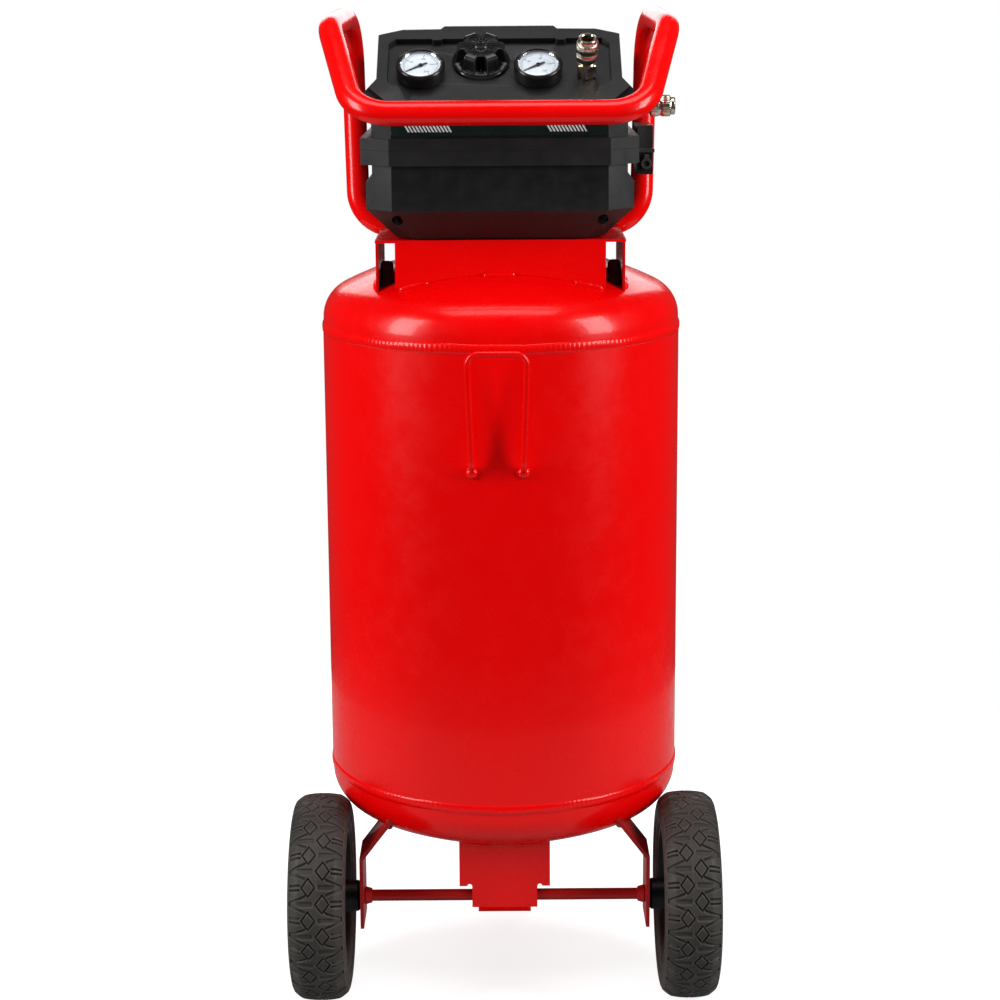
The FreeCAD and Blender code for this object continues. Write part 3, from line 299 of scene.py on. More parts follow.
class Shader:
    """A Principled material with short helpers for its pattern nodes."""

    def __init__(self, name, **sockets):
        self.material = bpy.data.materials.new(name)
        self.material.use_nodes = True
        self.tree = self.material.node_tree
        self.bsdf = self.tree.nodes["Principled BSDF"]
        for socket, value in sockets.items():
            self.bsdf.inputs[socket.replace("_", " ")].default_value = value
        self.coords = self.tree.nodes.new("ShaderNodeTexCoord").outputs["Object"]
        self.height = None

    def node(self, kind, **values):
        node = self.tree.nodes.new(kind)
        for key, value in values.items():
            if key in node.inputs:
                node.inputs[key].default_value = value
            else:
                setattr(node, key, value)
        return node

    def link(self, a, b):
        self.tree.links.new(a, b)

    def scaled(self, scale):
        mapping = self.node("ShaderNodeMapping")
        mapping.inputs["Scale"].default_value = scale
        self.link(self.coords, mapping.inputs["Vector"])
        return mapping.outputs["Vector"]

    def noise(self, scale, detail=3.0, rough=0.5, stretch=None, distort=0.0):
        noise = self.node("ShaderNodeTexNoise", Scale=scale, Detail=detail, Roughness=rough)
        noise.inputs["Distortion"].default_value = distort
        self.link(self.coords if stretch is None else self.scaled(stretch), noise.inputs["Vector"])
        return noise.outputs["Fac"]

    def voronoi(self, scale, feature="F1"):
        voronoi = self.node("ShaderNodeTexVoronoi", feature=feature)
        voronoi.inputs["Scale"].default_value = scale
        self.link(self.coords, voronoi.inputs["Vector"])
        return voronoi.outputs["Distance"]

    def ramp(self, fac, stops):
        ramp = self.node("ShaderNodeValToRGB")
        elements = ramp.color_ramp.elements
        while len(elements) < len(stops):
            elements.new(0.5)
        for element, (at, colour) in zip(elements, stops):
            element.position = at
            element.color = colour if len(colour) == 4 else (*colour, 1)
        self.link(fac, ramp.inputs["Fac"])
        return ramp.outputs["Color"]

    def spread(self, fac, low, high, near=0.3, far=0.7):
        spread = self.node("ShaderNodeMapRange")
        spread.inputs["From Min"].default_value = near
        spread.inputs["From Max"].default_value = far
        spread.inputs["To Min"].default_value = low
        spread.inputs["To Max"].default_value = high
        self.link(fac, spread.inputs["Value"])
        return spread.outputs["Result"]

    def edges(self, low=0.5, high=0.56):
        """White on outer edges, from the mesh's own curvature."""
        geometry = self.node("ShaderNodeNewGeometry")
        return self.spread(geometry.outputs["Pointiness"], 0.0, 1.0, low, high)

    def blend(self, fac, a, b):
        mix = self.node("ShaderNodeMix", data_type="RGBA")
        self.link(fac, mix.inputs["Factor"])
        for socket, value in ((mix.inputs[6], a), (mix.inputs[7], b)):
            if isinstance(value, tuple):
                socket.default_value = value if len(value) == 4 else (*value, 1)
            else:
                self.link(value, socket)
        return mix.outputs[2]

    def multiply(self, a, b):
        math_node = self.node("ShaderNodeMath", operation="MULTIPLY")
        self.link(a, math_node.inputs[0])
        if isinstance(b, float):
            math_node.inputs[1].default_value = b
        else:
            self.link(b, math_node.inputs[1])
        return math_node.outputs[0]

    def colour(self, source):
        self.link(source, self.bsdf.inputs["Base Color"])

    def rough(self, source):
        self.link(source, self.bsdf.inputs["Roughness"])

    def bump(self, source, distance, strength=1.0):
        """Adds one layer of relief; distance is its depth in millimetres."""
        bump = self.node("ShaderNodeBump")
        bump.inputs["Strength"].default_value = strength
        bump.inputs["Distance"].default_value = distance * MM
        self.link(source, bump.inputs["Height"])
        if self.height is not None:
            self.link(self.height, bump.inputs["Normal"])
        self.height = bump.outputs["Normal"]
        self.link(self.height, self.bsdf.inputs["Normal"])


def paint(name, deep, bright, low, high, coat, peel=0.05):
    """Enamel: slow colour drift, orange peel, faint scuffs and dust in its roughness."""
    s = Shader(name, IOR=1.5, Specular_IOR_Level=0.2, Coat_Weight=coat, Coat_Roughness=0.07)
    drift = s.noise(2.6, 3.0, 0.5)
    s.colour(s.ramp(drift, [(0.3, deep), (0.7, bright)]))
    s.rough(s.spread(s.noise(38.0, 6.0, 0.62), low, high))
    s.bump(s.noise(330.0, 2.0, 0.4), peel)
    s.bump(s.noise(16.0, 1.0, 0.4), 0.05)
    return s.material


def moulded(name, dark, light, rough, grain=0.06, size=900.0):
    """Spark-eroded plastic: fine grain, cloudy sheen, and lighter edges that are painted highlight where
    chamfers catch light, together with rubbed wear.
    """
    s = Shader(name, IOR=1.48, Specular_IOR_Level=0.36)
    cloud = s.noise(14.0, 5.0, 0.6)
    base = s.ramp(cloud, [(0.3, dark), (0.75, light)])
    # the edges turn lighter: painted highlight where chamfers catch light, and rubbed wear
    edge_highlight_and_wear = tuple(min(1.0, channel * 3.2 + 0.02) for channel in light)
    s.colour(s.blend(s.multiply(s.edges(0.51, 0.6), 0.5), base, edge_highlight_and_wear))
    s.rough(s.spread(s.noise(60.0, 5.0, 0.6), rough - 0.07, rough + 0.1))
    s.bump(s.voronoi(size), grain, 0.8)
    s.bump(s.noise(size * 0.6, 3.0, 0.6), grain * 0.8, 0.7)
    return s.material


def rubber(name, dark, light, dust):
    s = Shader(name, IOR=1.45)
    wear = s.noise(18.0, 6.0, 0.65)
    base = s.ramp(wear, [(0.28, dark), (0.62, light), (0.85, dust)])
    # the colour turns to the dust tone on sharp outer edges
    edge_lightened = s.blend(s.multiply(s.edges(0.505, 0.56), 0.55), base, dust)
    s.colour(edge_lightened)
    s.rough(s.spread(s.noise(45.0, 5.0, 0.6), 0.5, 0.78))
    s.bump(s.noise(420.0, 4.0, 0.6), 0.09)
    s.bump(s.noise(60.0, 3.0, 0.6), 0.16)
    return s.material


def metal(name, dark, light, rough, lines=None, cast=0.0):
    """Bare or plated metal: drifted tint, fine tool lines or a cast skin."""
    s = Shader(name, Metallic=1.0)
    s.colour(s.ramp(s.noise(55.0, 5.0, 0.6), [(0.3, dark), (0.7, light)]))
    s.rough(s.spread(s.noise(120.0, 5.0, 0.65), rough * 0.7, rough * 1.4))
    if lines:
        s.bump(s.noise(260.0, 2.0, 0.5, lines), 0.03)
    if cast:
        s.bump(s.noise(260.0, 5.0, 0.7), cast)
    return s.material


def flat(name, a, b, rough, scale=40.0, bump_depth=0.01):
    """Printed or moulded trim: slight mottling, soft sheen."""
    s = Shader(name, IOR=1.48)
    s.colour(s.ramp(s.noise(scale, 4.0, 0.6), [(0.35, a), (0.7, b)]))
    s.rough(s.spread(s.noise(scale * 3, 4.0, 0.6), rough - 0.05, rough + 0.07))
    s.bump(s.noise(700.0, 2.0, 0.5), bump_depth)
    return s.material


def clear_lens(name):
    """Thin gauge glass that lets lamps through and keeps a soft reflection."""
    material = bpy.data.materials.new(name)
    material.use_nodes = True
    tree = material.node_tree
    tree.nodes.clear()
    out = tree.nodes.new("ShaderNodeOutputMaterial")
    mix = tree.nodes.new("ShaderNodeMixShader")
    facing = tree.nodes.new("ShaderNodeLayerWeight")
    facing.inputs["Blend"].default_value = 0.12
    share = tree.nodes.new("ShaderNodeMath")
    share.operation = "MULTIPLY_ADD"
    share.inputs[1].default_value = 0.25
    share.inputs[2].default_value = 0.025
    through = tree.nodes.new("ShaderNodeBsdfTransparent")
    through.inputs["Color"].default_value = (0.97, 0.985, 1.0, 1)
    gloss = tree.nodes.new("ShaderNodeBsdfGlossy")
    gloss.inputs["Roughness"].default_value = 0.04
    tree.links.new(facing.outputs["Facing"], share.inputs[0])
    tree.links.new(share.outputs[0], mix.inputs[0])
    tree.links.new(through.outputs[0], mix.inputs[1])
    tree.links.new(gloss.outputs[0], mix.inputs[2])
    tree.links.new(mix.outputs[0], out.inputs[0])
    return material


RED = paint("red_enamel", (0.80, 0.0002, 0.0004), (0.87, 0.0005, 0.0007), 0.2, 0.32, 0.15)
RED_TUBE = paint("red_tube", (0.78, 0.0004, 0.0005), (0.86, 0.0008, 0.0008), 0.2, 0.3, 0.25, 0.03)
RED_DULL = paint("red_primer", (0.34, 0.004, 0.004), (0.46, 0.008, 0.007), 0.36, 0.55, 0.15, 0.08)
PLASTIC = moulded("black_plastic", (0.0045, 0.0042, 0.0042), (0.0085, 0.008, 0.0078), 0.44)
PLASTIC_FINE = moulded("fine_plastic", (0.008, 0.008, 0.008), (0.015, 0.015, 0.015), 0.3, 0.03, 1500.0)
PLASTIC_GLOSS = moulded("gloss_plastic", (0.006, 0.006, 0.006), (0.011, 0.011, 0.011), 0.17, 0.012, 1500.0)
TYRE = rubber("tyre_rubber", (0.014, 0.012, 0.010), (0.030, 0.026, 0.022), (0.085, 0.075, 0.062))
BLACK_RUBBER = rubber("black_rubber", (0.008, 0.008, 0.008), (0.02, 0.019, 0.018), (0.05, 0.045, 0.04))
NICKEL = metal("nickel", (0.60, 0.53, 0.42), (0.80, 0.74, 0.62), 0.2, (1, 1, 14))
CHROME = metal("chrome", (0.68, 0.69, 0.71), (0.82, 0.83, 0.85), 0.1, (1, 1, 10))
BRASS = metal("brass", (0.50, 0.33, 0.12), (0.68, 0.48, 0.20), 0.28, (1, 1, 12))
STEEL = metal("zinc_steel", (0.42, 0.42, 0.43), (0.60, 0.60, 0.62), 0.3, (12, 1, 1))
CAST = metal("cast_aluminium", (0.42, 0.42, 0.43), (0.58, 0.58, 0.60), 0.45, None, 0.2)
LAMINATE = metal("laminations", (0.12, 0.12, 0.13), (0.22, 0.22, 0.23), 0.5, (90, 1, 1))
DIAL = flat("dial_white", (0.88, 0.90, 0.92), (0.94, 0.955, 0.97), 0.4)
INK = flat("dial_ink", (0.015, 0.015, 0.016), (0.03, 0.03, 0.032), 0.5)
STRIP = flat("strip_green_black", (0.006, 0.013, 0.011), (0.010, 0.020, 0.017), 0.22)
WHITE_INK = flat("strip_white", (0.72, 0.74, 0.73), (0.82, 0.84, 0.83), 0.35)
LENS = clear_lens("lens")


# ---------------------------------------------------------------- tank

def head_profile(shrink=0.0, steps=14):
    """Half section of a head above its seam, from the skirt up to the apex."""
    across = HEAD_RADIUS - KNUCKLE
    drop = math.sqrt((CROWN - KNUCKLE) ** 2 - across ** 2)
    lean = math.asin(across / (CROWN - KNUCKLE))
    line = [(HEAD_RADIUS - shrink, 0), (HEAD_RADIUS - shrink, 5)]
    for step in range(steps + 1):
        turn = (math.pi / 2 - lean) * step / steps
        radius = KNUCKLE - shrink
        line.append((across + radius * math.cos(turn), HEAD_SKIRT + radius * math.sin(turn)))
    for step in range(1, 19):
        turn = lean * (1 - step / 18)
        radius = CROWN - shrink
        line.append((radius * math.sin(turn), HEAD_SKIRT - drop + radius * math.cos(turn)))
    line[-1] = (0.0, HEAD_SKIRT - drop + CROWN - shrink)
    return line


def crown(x, y):
    """Height of a head's skin above its seam."""
    inner = HEAD_RADIUS - KNUCKLE
    drop = math.sqrt((CROWN - KNUCKLE) ** 2 - inner ** 2)
    across = math.hypot(x, y)
    if across < CROWN * inner / (CROWN - KNUCKLE):
        return HEAD_SKIRT - drop + math.sqrt(CROWN ** 2 - across ** 2)
    return HEAD_SKIRT + math.sqrt(max(0.0, KNUCKLE ** 2 - (across - inner) ** 2))


def top_skin(x, y):
    return SEAM_HIGH + crown(x, y)


def bottom_skin(x, y):
    return SEAM_LOW - crown(x, y)


def tank():
    rings = [(197, SEAM_LOW + (SEAM_HIGH - SEAM_LOW) * i / 12) for i in range(13)]
    inner = [(194.4, SEAM_HIGH), (194.4, SEAM_LOW)]
    shell = lathe(rings + inner, UPRIGHT, 288)
    piece("tank_wall", [shell], "machine", RED, ["tank_shell"])
    for name, node, seam, sign in (
        ("tank_top", "tank_top_head", SEAM_HIGH, 1),
        ("tank_bottom", "tank_bottom_head", SEAM_LOW, -1),
    ):
        line = head_profile() + head_profile(3.0)[::-1]
        shape = lathe([(r, seam + sign * z) for r, z in line], UPRIGHT, 288)
        piece(name, [shape], "machine", RED, [node])
    beads = []
    for seam, sign in ((SEAM_HIGH, 1), (SEAM_LOW, -1)):
        profile = [(196.3, -5.5), (197.4, -5.0), (197.9, -2.6), (198.1, 0), (198.0, 2.4)]
        profile += [(197.3, 4.6), (196.2, 5.5)]

        def ripple(angle, index, radius, height):
            wave = 0.5 + 0.5 * math.sin(angle * 230 + 0.6 * math.sin(angle * 31))
            swell = 0.3 * math.sin(angle * 9 + seam) + 0.2 * math.sin(angle * 23)
            crown_share = max(0.0, 1 - abs(index - 3) / 3.2)
            return radius - crown_share * (0.35 * wave), height + swell * sign

        beads.append(lathe([(r, seam + sign * z) for r, z in profile], UPRIGHT, 1380, ripple))
    piece("seam_beads", beads, "machine", RED, ["seam_welds"], sharp=80)


def weld_run(points, radius, seed, place=UPRIGHT):
    """An uneven weld bead laid along points."""
    rand = random.Random(seed)
    lumps = [rand.uniform(0.82, 1.2) for _ in points]
    path = [Vector(p) + Vector([rand.uniform(-0.35, 0.35) for _ in range(3)]) for p in points]

    def wobble(index, angle):
        end = min(index, len(points) - 1 - index)
        return lumps[index] * (0.45 if end == 0 else 0.85 if end == 1 else 1.0)

    return sweep(path, radius, place, 12, True, wobble)


def steps_between(start, end, step=2.2):
    return [start + step * i for i in range(int((end - start) / step) + 1)]


def saddle_and_feet():
    rounded_copy("saddle_bracket", 1.1, RED, segments=3, name="saddle_plate")
    rounded_copy("foot_bracket", 1.2, RED, segments=3, name="foot_plate")
    rounded_copy("axle_bracket", 0.9, RED, segments=3, name="axle_plate")
    rounded_copy("strut_left", 1.2, RED_DULL, segments=3, name="strut_plate_left")
    rounded_copy("strut_right", 1.2, RED_DULL, segments=3, name="strut_plate_right")
    beads = []
    for number, (start, end) in enumerate([(-107, -76), (78, 110), (-18, 16)]):
        line = [(x, -121.2, top_skin(x, -121.2) + 0.6) for x in steps_between(start, end)]
        beads.append(weld_run(line, 3.4, number))
    for number, sign in enumerate((-1, 1)):
        for seed, (start, end) in ((9, (-100, -71)), (14, (-10, 19))):
            ys = steps_between(start, end)
            line = [(sign * 132.6, y, top_skin(132.6, y) + 0.6) for y in ys]
            beads.append(weld_run(line, 3.2, seed + number))
    piece("saddle_welds", beads, "machine", RED, sharp=70)
    line = [(x, 111.4, bottom_skin(x, 111.4) - 0.8) for x in steps_between(-26, 26)]
    piece("foot_welds", [weld_run(line, 3.0, 30)], "machine", RED, sharp=70)
    beads = []
    for number, (start, end) in enumerate([(-46, -14), (14, 46)]):
        line = [(x, -128.8, bottom_skin(x, -128.8) - 0.8) for x in steps_between(start, end)]
        beads.append(weld_run(line, 2.8, 33 + number))
    piece("axle_plate_welds", beads, "machine", RED, sharp=70)
    for number, (side, sign) in enumerate((("left", -1), ("right", 1))):
        ys = steps_between(-143, -93)
        line = [(sign * 127.5, y, bottom_skin(127.5, y) - 0.8) for y in ys]
        bead = weld_run(line, 3.2, 40 + number)
        piece(f"strut_weld_{side}", [bead], "machine", RED_DULL, sharp=70)
    waist = [(0, 845.7), (10.6, 845.7), (11, 846.3), (11, 847.4), (9.5, 849.2), (9.2, 852.3)]
    waist += [(9.5, 855.4), (11, 857.2), (11, 858.3), (10.6, 858.9), (0, 858.9)]
    bell = [(0, 792), (7.6, 792), (7.6, 801), (7.0, 802.5), (7.0, 816), (6.5, 819.2)]
    bell += [(5.2, 820.7), (3.4, 821), (2.4, 820.2), (0, 820.2)]
    mounts = [lathe(waist, Place((x, y, 0)), 40, ring=False) for x, y in ISOLATORS]
    mounts += [lathe(bell, Place((x, y, 0)), 40, ring=False) for x, y in BUFFERS]
    piece("mount_rubbers", mounts, "machine", BLACK_RUBBER, ["rubber_mounts"])


def handle_and_hook():
    right = [(97.5, 52, 844), (158.3, 52, 844), (164.5, 78, 1077), (178, -72, 1064), (147, -185, 981)]
    left = [(-x, y, z) for x, y, z in right]
    bends = [40, 46, 46, 46, 46, 46, 46, 40]
    path = bent_path(left + right[::-1], bends, 4.0, 30.0)
    tube = sweep(path, 12.7, UPRIGHT, 48)
    piece("handle_bar", [tube], "machine", RED_TUBE, ["handle_tube"], sharp=50)
    skin, middle = 197.0, -4.5
    legs = [
        (-27, -skin + 2.4, 612), (-27, -skin - 10, 622), (-31, -skin - 27, 741),
        (31, -skin - 27, 741), (27, -skin - 10, 622), (27, -skin + 2.4, 612),
    ]
    legs = [(x + middle, y, z) for x, y, z in legs]
    rod = sweep(bent_path(legs, 12, 1.6, 12.0), 3.2, UPRIGHT, 24)
    blobs = []
    for number, x in enumerate((middle - 27, middle + 27)):
        rand = random.Random(60 + number)
        bumps = [rand.uniform(-0.5, 0.5) for _ in range(24)]

        def lumpy(angle, index, radius, height, bumps=bumps):
            return radius * (1 + 0.16 * bumps[int(angle / (2 * math.pi) * 24) % 24]), height

        outward = Place((x, -skin + 0.6, 612), (1, 0, 0), (0, 0, 1), (0, -1, 0))
        line = [(0, -1.2), (6.4, -1.0), (6.2, 0.6), (4.9, 2.4), (3.0, 3.6), (0, 4.0)]
        blobs.append(lathe(line, outward, 24, lumpy, ring=False))
    piece("hook_rod", [rod], "machine", RED, ["hose_hook"], sharp=50)
    piece("hook_welds", blobs, "machine", RED, sharp=60)


# ---------------------------------------------------------------- wheels

def smooth(value, low, high):
    t = min(1.0, max(0.0, (value - low) / (high - low)))
    return t * t * (3 - 2 * t)


def tread_depth(u, v, pitch):
    """How far the rubber is cut away (0 on a block, 1 in a groove)."""
    side = 1 if v >= 0 else -1
    across = abs(v)
    t = (u / pitch + (0.5 if side > 0 else 0.0)) % 1.0
    along = (t - 0.5) * pitch
    diamond = abs(across - 7.6) / 6.4 + abs(along) / 8.6
    ring = 1 - smooth(abs(diamond - 1.14), 0.07, 0.17)
    bars = 1 - smooth(abs(abs(along) - 2.7), 0.6, 1.2)
    bars *= smooth(across, 15.4, 16.4) * smooth(28.6 - across, 0, 1.0)
    reach = 7.0 + (across - 5.0) * 0.42
    slash = (1 - smooth(abs(abs(along) - reach), 0.9, 1.8)) * smooth(across, 9.0, 11.0)
    valley = (1 - smooth(pitch / 2 - abs(along), 1.6, 3.4)) * smooth(across, 2.0, 3.5)
    return max(ring, bars, slash, valley * 0.8)


def tyre(name, node, centre_x, body):
    """Tread, sidewalls and bead seat of one tyre as a single skin."""
    around, pitch = 760, 2 * math.pi * WHEEL_RADIUS / 20
    tread = [-28.8 + 57.6 * i / 88 for i in range(89)]
    wall = [(30.2, 102.0), (31, 98.4), (30.9, 97.2), (30.2, 96.6), (30.8, 95.8), (31, 91), (30.6, 86)]
    wall += [(29.6, 84.8), (29.9, 83.4), (28.4, 79.4), (27.9, 78.0)]
    line = []
    for v in tread:
        across = abs(v)
        drop = 1.7 * (across / 19) ** 2
        if across > 19:
            drop = 1.7 + 4.3 * ((across - 19) / 7) ** 1.35
        line.append((v, WHEEL_RADIUS - drop))
    line += wall
    line += [(-v, r) for v, r in wall[::-1]]
    verts, rows = [], []
    for number, (v, radius) in enumerate(line):
        row = []
        for step in range(around):
            angle = 2 * math.pi * step / around
            depth = 0.0
            if number < len(tread):
                fade = smooth(29.0 - abs(v), 0.0, 1.4)
                seam = 0.35 * smooth(0.9 - abs(v), 0.0, 0.5)
                depth = 2.3 * tread_depth(angle * WHEEL_RADIUS, v, pitch) * fade + seam
            r = radius - depth
            row.append(len(verts))
            verts.append(wheel_point(centre_x, v, r, angle))
        rows.append(row)
    faces = []
    for index, a in enumerate(rows):
        b = rows[(index + 1) % len(rows)]
        for step in range(around):
            after = (step + 1) % around
            faces.append((a[step], a[after], b[after], b[step]))
    piece(name, [(verts, faces)], body, TYRE, [node], sharp=42)


def wheel_point(centre_x, v, r, angle):
    return UPRIGHT((centre_x + v, r * math.cos(angle) + AXLE_Y, r * math.sin(angle) + AXLE_Z))


def rim(name, node, centre_x, sign, body):
    outline = [
        (-41.5, 6.4), (-41.5, 15.5), (-40, 17), (-3.4, 19), (-3, 60), (-7, 67), (-23, 71.5), (-27, 73),
        (-27, 78), (27, 78), (27, 73), (23, 71.5), (7, 67), (3, 60), (3.4, 19), (22.4, 17),
        (23.7, 15.8), (23.7, 6.4),
    ]
    place = Place((centre_x, AXLE_Y, AXLE_Z), (0, 1, 0), (0, 0, 1), (1, 0, 0))
    profile = rounded_profile([(r, v * sign) for v, r in outline], 1.4, 3)
    shapes = [lathe(profile, place, 96)]
    for number in range(10):
        turn = 2 * math.pi * (number + 0.5) / 10
        radial = (0, math.cos(turn), math.sin(turn))
        along = (0, -math.sin(turn), math.cos(turn))
        rib_place = Place((centre_x, AXLE_Y, AXLE_Z), along, radial, (1, 0, 0))
        for side, reach in ((1, 15.0), (-1, 20.0)):
            section = [(-1.9, 16.5), (1.9, 16.5), (1.9, 69.0), (-1.9, 69.0)]
            low, high = sorted((side * sign * 2.0, side * sign * reach))
            shapes.append(prism(section, low, high, rib_place, 0.7))
    piece(name, shapes, body, PLASTIC, [node], sharp=32)


def axle():
    place = Place((0, AXLE_Y, AXLE_Z), (0, 1, 0), (0, 0, 1), (1, 0, 0))
    half = [(0, 232), (5.5, 232), (6.35, 231), (6.35, 155.8), (9.4, 155.7), (9.9, 154.9), (8.2, 148.4)]
    half += [(7.6, 148), (6.35, 147.8)]
    rod = [(r, -v) for r, v in half] + half[::-1]
    piece("axle", [lathe(rod, place, 40, ring=False)], "machine", RED_DULL, ["axle_rod"])
    caps = []
    for sign in (-1, 1):
        at = Place((sign * 227, AXLE_Y, AXLE_Z), (0, 1, 0), (0, 0, 1), (sign, 0, 0))
        dome = [(6.35, 0), (10.4, 0), (11, 0.6), (10.8, 1.9), (9.0, 3.6), (6.9, 4.8), (6.35, 4.8)]
        caps.append(lathe(dome, at, 40))
    piece("axle_end_caps", caps, "machine", STEEL, ["axle_caps"])


def wheels():
    axle()
    for side, sign in (("left", -1), ("right", 1)):
        body = f"wheel_{side}"
        tyre(f"tread_{side}", f"tyre_{side}", sign * WHEEL_X, body)
        rim(f"wheel_disc_{side}", f"rim_{side}", sign * WHEEL_X, sign, body)


# ---------------------------------------------------------------- shroud and panel

def shrouds():
    rounded_copy("lower_shroud", 1.3, PLASTIC, segments=3, name="shroud_base")
    rounded_copy("upper_shroud", 1.3, PLASTIC, segments=3, name="shroud_top")
    rounded_copy("label_strip", 0.2, STRIP, segments=2, name="strip")
    bars = []
    face = Place((0, STRIP_FACE, 0), (1, 0, 0), (0, 0, 1), (0, -1, 0))
    for start, end in HATCH_SPANS:
        for x in steps_between(start, end - 9, HATCH_PITCH):
            section = [(x + 7, 960), (x + 8.9, 960), (x + 1.9, 972), (x, 972)]
            bars.append(prism(section, -0.1, 0.14, face))
    piece("strip_hatch", bars, "machine", WHITE_INK)
    rear_screws()


def rear_screws():
    """Pan heads with a six-lobed socket."""
    line = [(0, 0.9), (1.45, 0.9), (1.6, 2.3), (2.4, 2.3), (3.4, 1.9), (3.9, 1.2), (4, 0.5)]
    line += [(4, 0), (0, 0)]

    def star(angle, index, radius, height):
        if index in (1, 2):
            radius *= 1 + 0.16 * math.cos(6 * angle)
        return radius, height

    heads = []
    for x in SCREW_XS:
        at = Place((x, SCREW_Y, SCREW_Z), (1, 0, 0), (0, 0, -1), (0, 1, 0))
        heads.append(lathe(line, at, 48, star, ring=False))
    piece("rear_screws", heads, "machine", STEEL, ["shroud_bolts"])


def scale_texts(place, words, size, radius):
    """Figures of a dial as thin raised solids."""
    shapes = []
    for word, angle in words:
        curve = bpy.data.curves.new("figure", "FONT")
        curve.body = word
        curve.size = size
        curve.extrude = 0.03
        curve.resolution_u = 3
        curve.align_x = "CENTER"
        curve.align_y = "CENTER"
        holder = bpy.data.objects.new("figure", curve)
        bpy.context.scene.collection.objects.link(holder)
        graph = bpy.context.evaluated_depsgraph_get()
        mesh = bpy.data.meshes.new_from_object(holder.evaluated_get(graph))
        x, y = radius * math.cos(angle), radius * math.sin(angle)
        verts = [place((v.co.x + x, v.co.y + y, v.co.z + 5.62)) for v in mesh.vertices]
        shapes.append((verts, [tuple(p.vertices) for p in mesh.polygons]))
        bpy.data.objects.remove(holder)
        bpy.data.meshes.remove(mesh)
        bpy.data.curves.remove(curve)
    return shapes


def gauge(side, x, top):
    place = on_panel(x, GAUGE_UP)
    prefix = f"gauge_{side}"
    case = [
        (0, -46), (5, -46), (5, -26), (20, -26), (20, PANEL_FLOOR), (24.5, PANEL_FLOOR), (25.4, -4.4),
        (25.5, 6.5),
        (25.1, 8.6), (24.2, 9.7), (23.2, 10), (22.3, 9.6), (21.6, 8.4), (21.6, 5), (0, 5),
    ]
    shape = lathe(rounded_profile(case, 0.5, 2, closed=False), place, 96, ring=False)
    piece(f"{prefix}_bezel", [shape], "machine", PLASTIC_GLOSS, [f"{prefix}_case"])
    ring = [(21.0, 5.6), (21.55, 5.6), (21.55, 8.3), (21.0, 8.3), (20.3, 7.4)]
    piece(f"{prefix}_ring", [lathe(ring, place, 96)], "machine", CHROME)
    dial = [(0, 5.02), (21.2, 5.02), (21.3, 5.2), (21.2, 5.6), (0, 5.6)]
    piece(f"{prefix}_face", [lathe(dial, place, 72, ring=False)], "machine", DIAL,
          [f"{prefix}_dial"])
    zero, sweep_angle = math.radians(213.4), math.radians(270)
    marks = []
    for number in range(41):
        turn = zero - sweep_angle * number / 40
        long_mark = number % 10 == 0
        inner = 14.6 if long_mark else 16.2 if number % 5 == 0 else 16.9
        width = 0.34 if long_mark else 0.17
        cos, sin = math.cos(turn), math.sin(turn)
        corners = [
            (inner * cos + width * sin, inner * sin - width * cos),
            (18.6 * cos + width * sin, 18.6 * sin - width * cos),
            (18.6 * cos - width * sin, 18.6 * sin + width * cos),
            (inner * cos - width * sin, inner * sin + width * cos),
        ]
        marks.append(prism(corners, 5.55, 5.66, place))
    words = [(str(int(top * i / 4)), zero - sweep_angle * i / 4) for i in range(5)]
    marks += scale_texts(place, words, 3.6, 11.6)
    piece(f"{prefix}_scale", marks, "machine", INK, sharp=20)
    rounded_copy(f"{prefix}_needle", 0.1, INK, f"needle_{side}", name=f"{prefix}_pointer")
    boss = lathe([(0, 6.0), (2.3, 6.0), (2.3, 7.3), (1.7, 7.9), (0, 8.0)], place, 32, ring=False)
    piece(f"{prefix}_boss", [boss], f"needle_{side}", PLASTIC_GLOSS)
    glass = [(0, 8.4), (21.3, 8.4), (21.3, 8.9), (18, 9.25), (12, 9.5), (6, 9.58), (0, 9.6)]
    piece(f"{prefix}_glass", [lathe(glass, place, 72, ring=False)], "machine", LENS,
          [f"{prefix}_lens"])


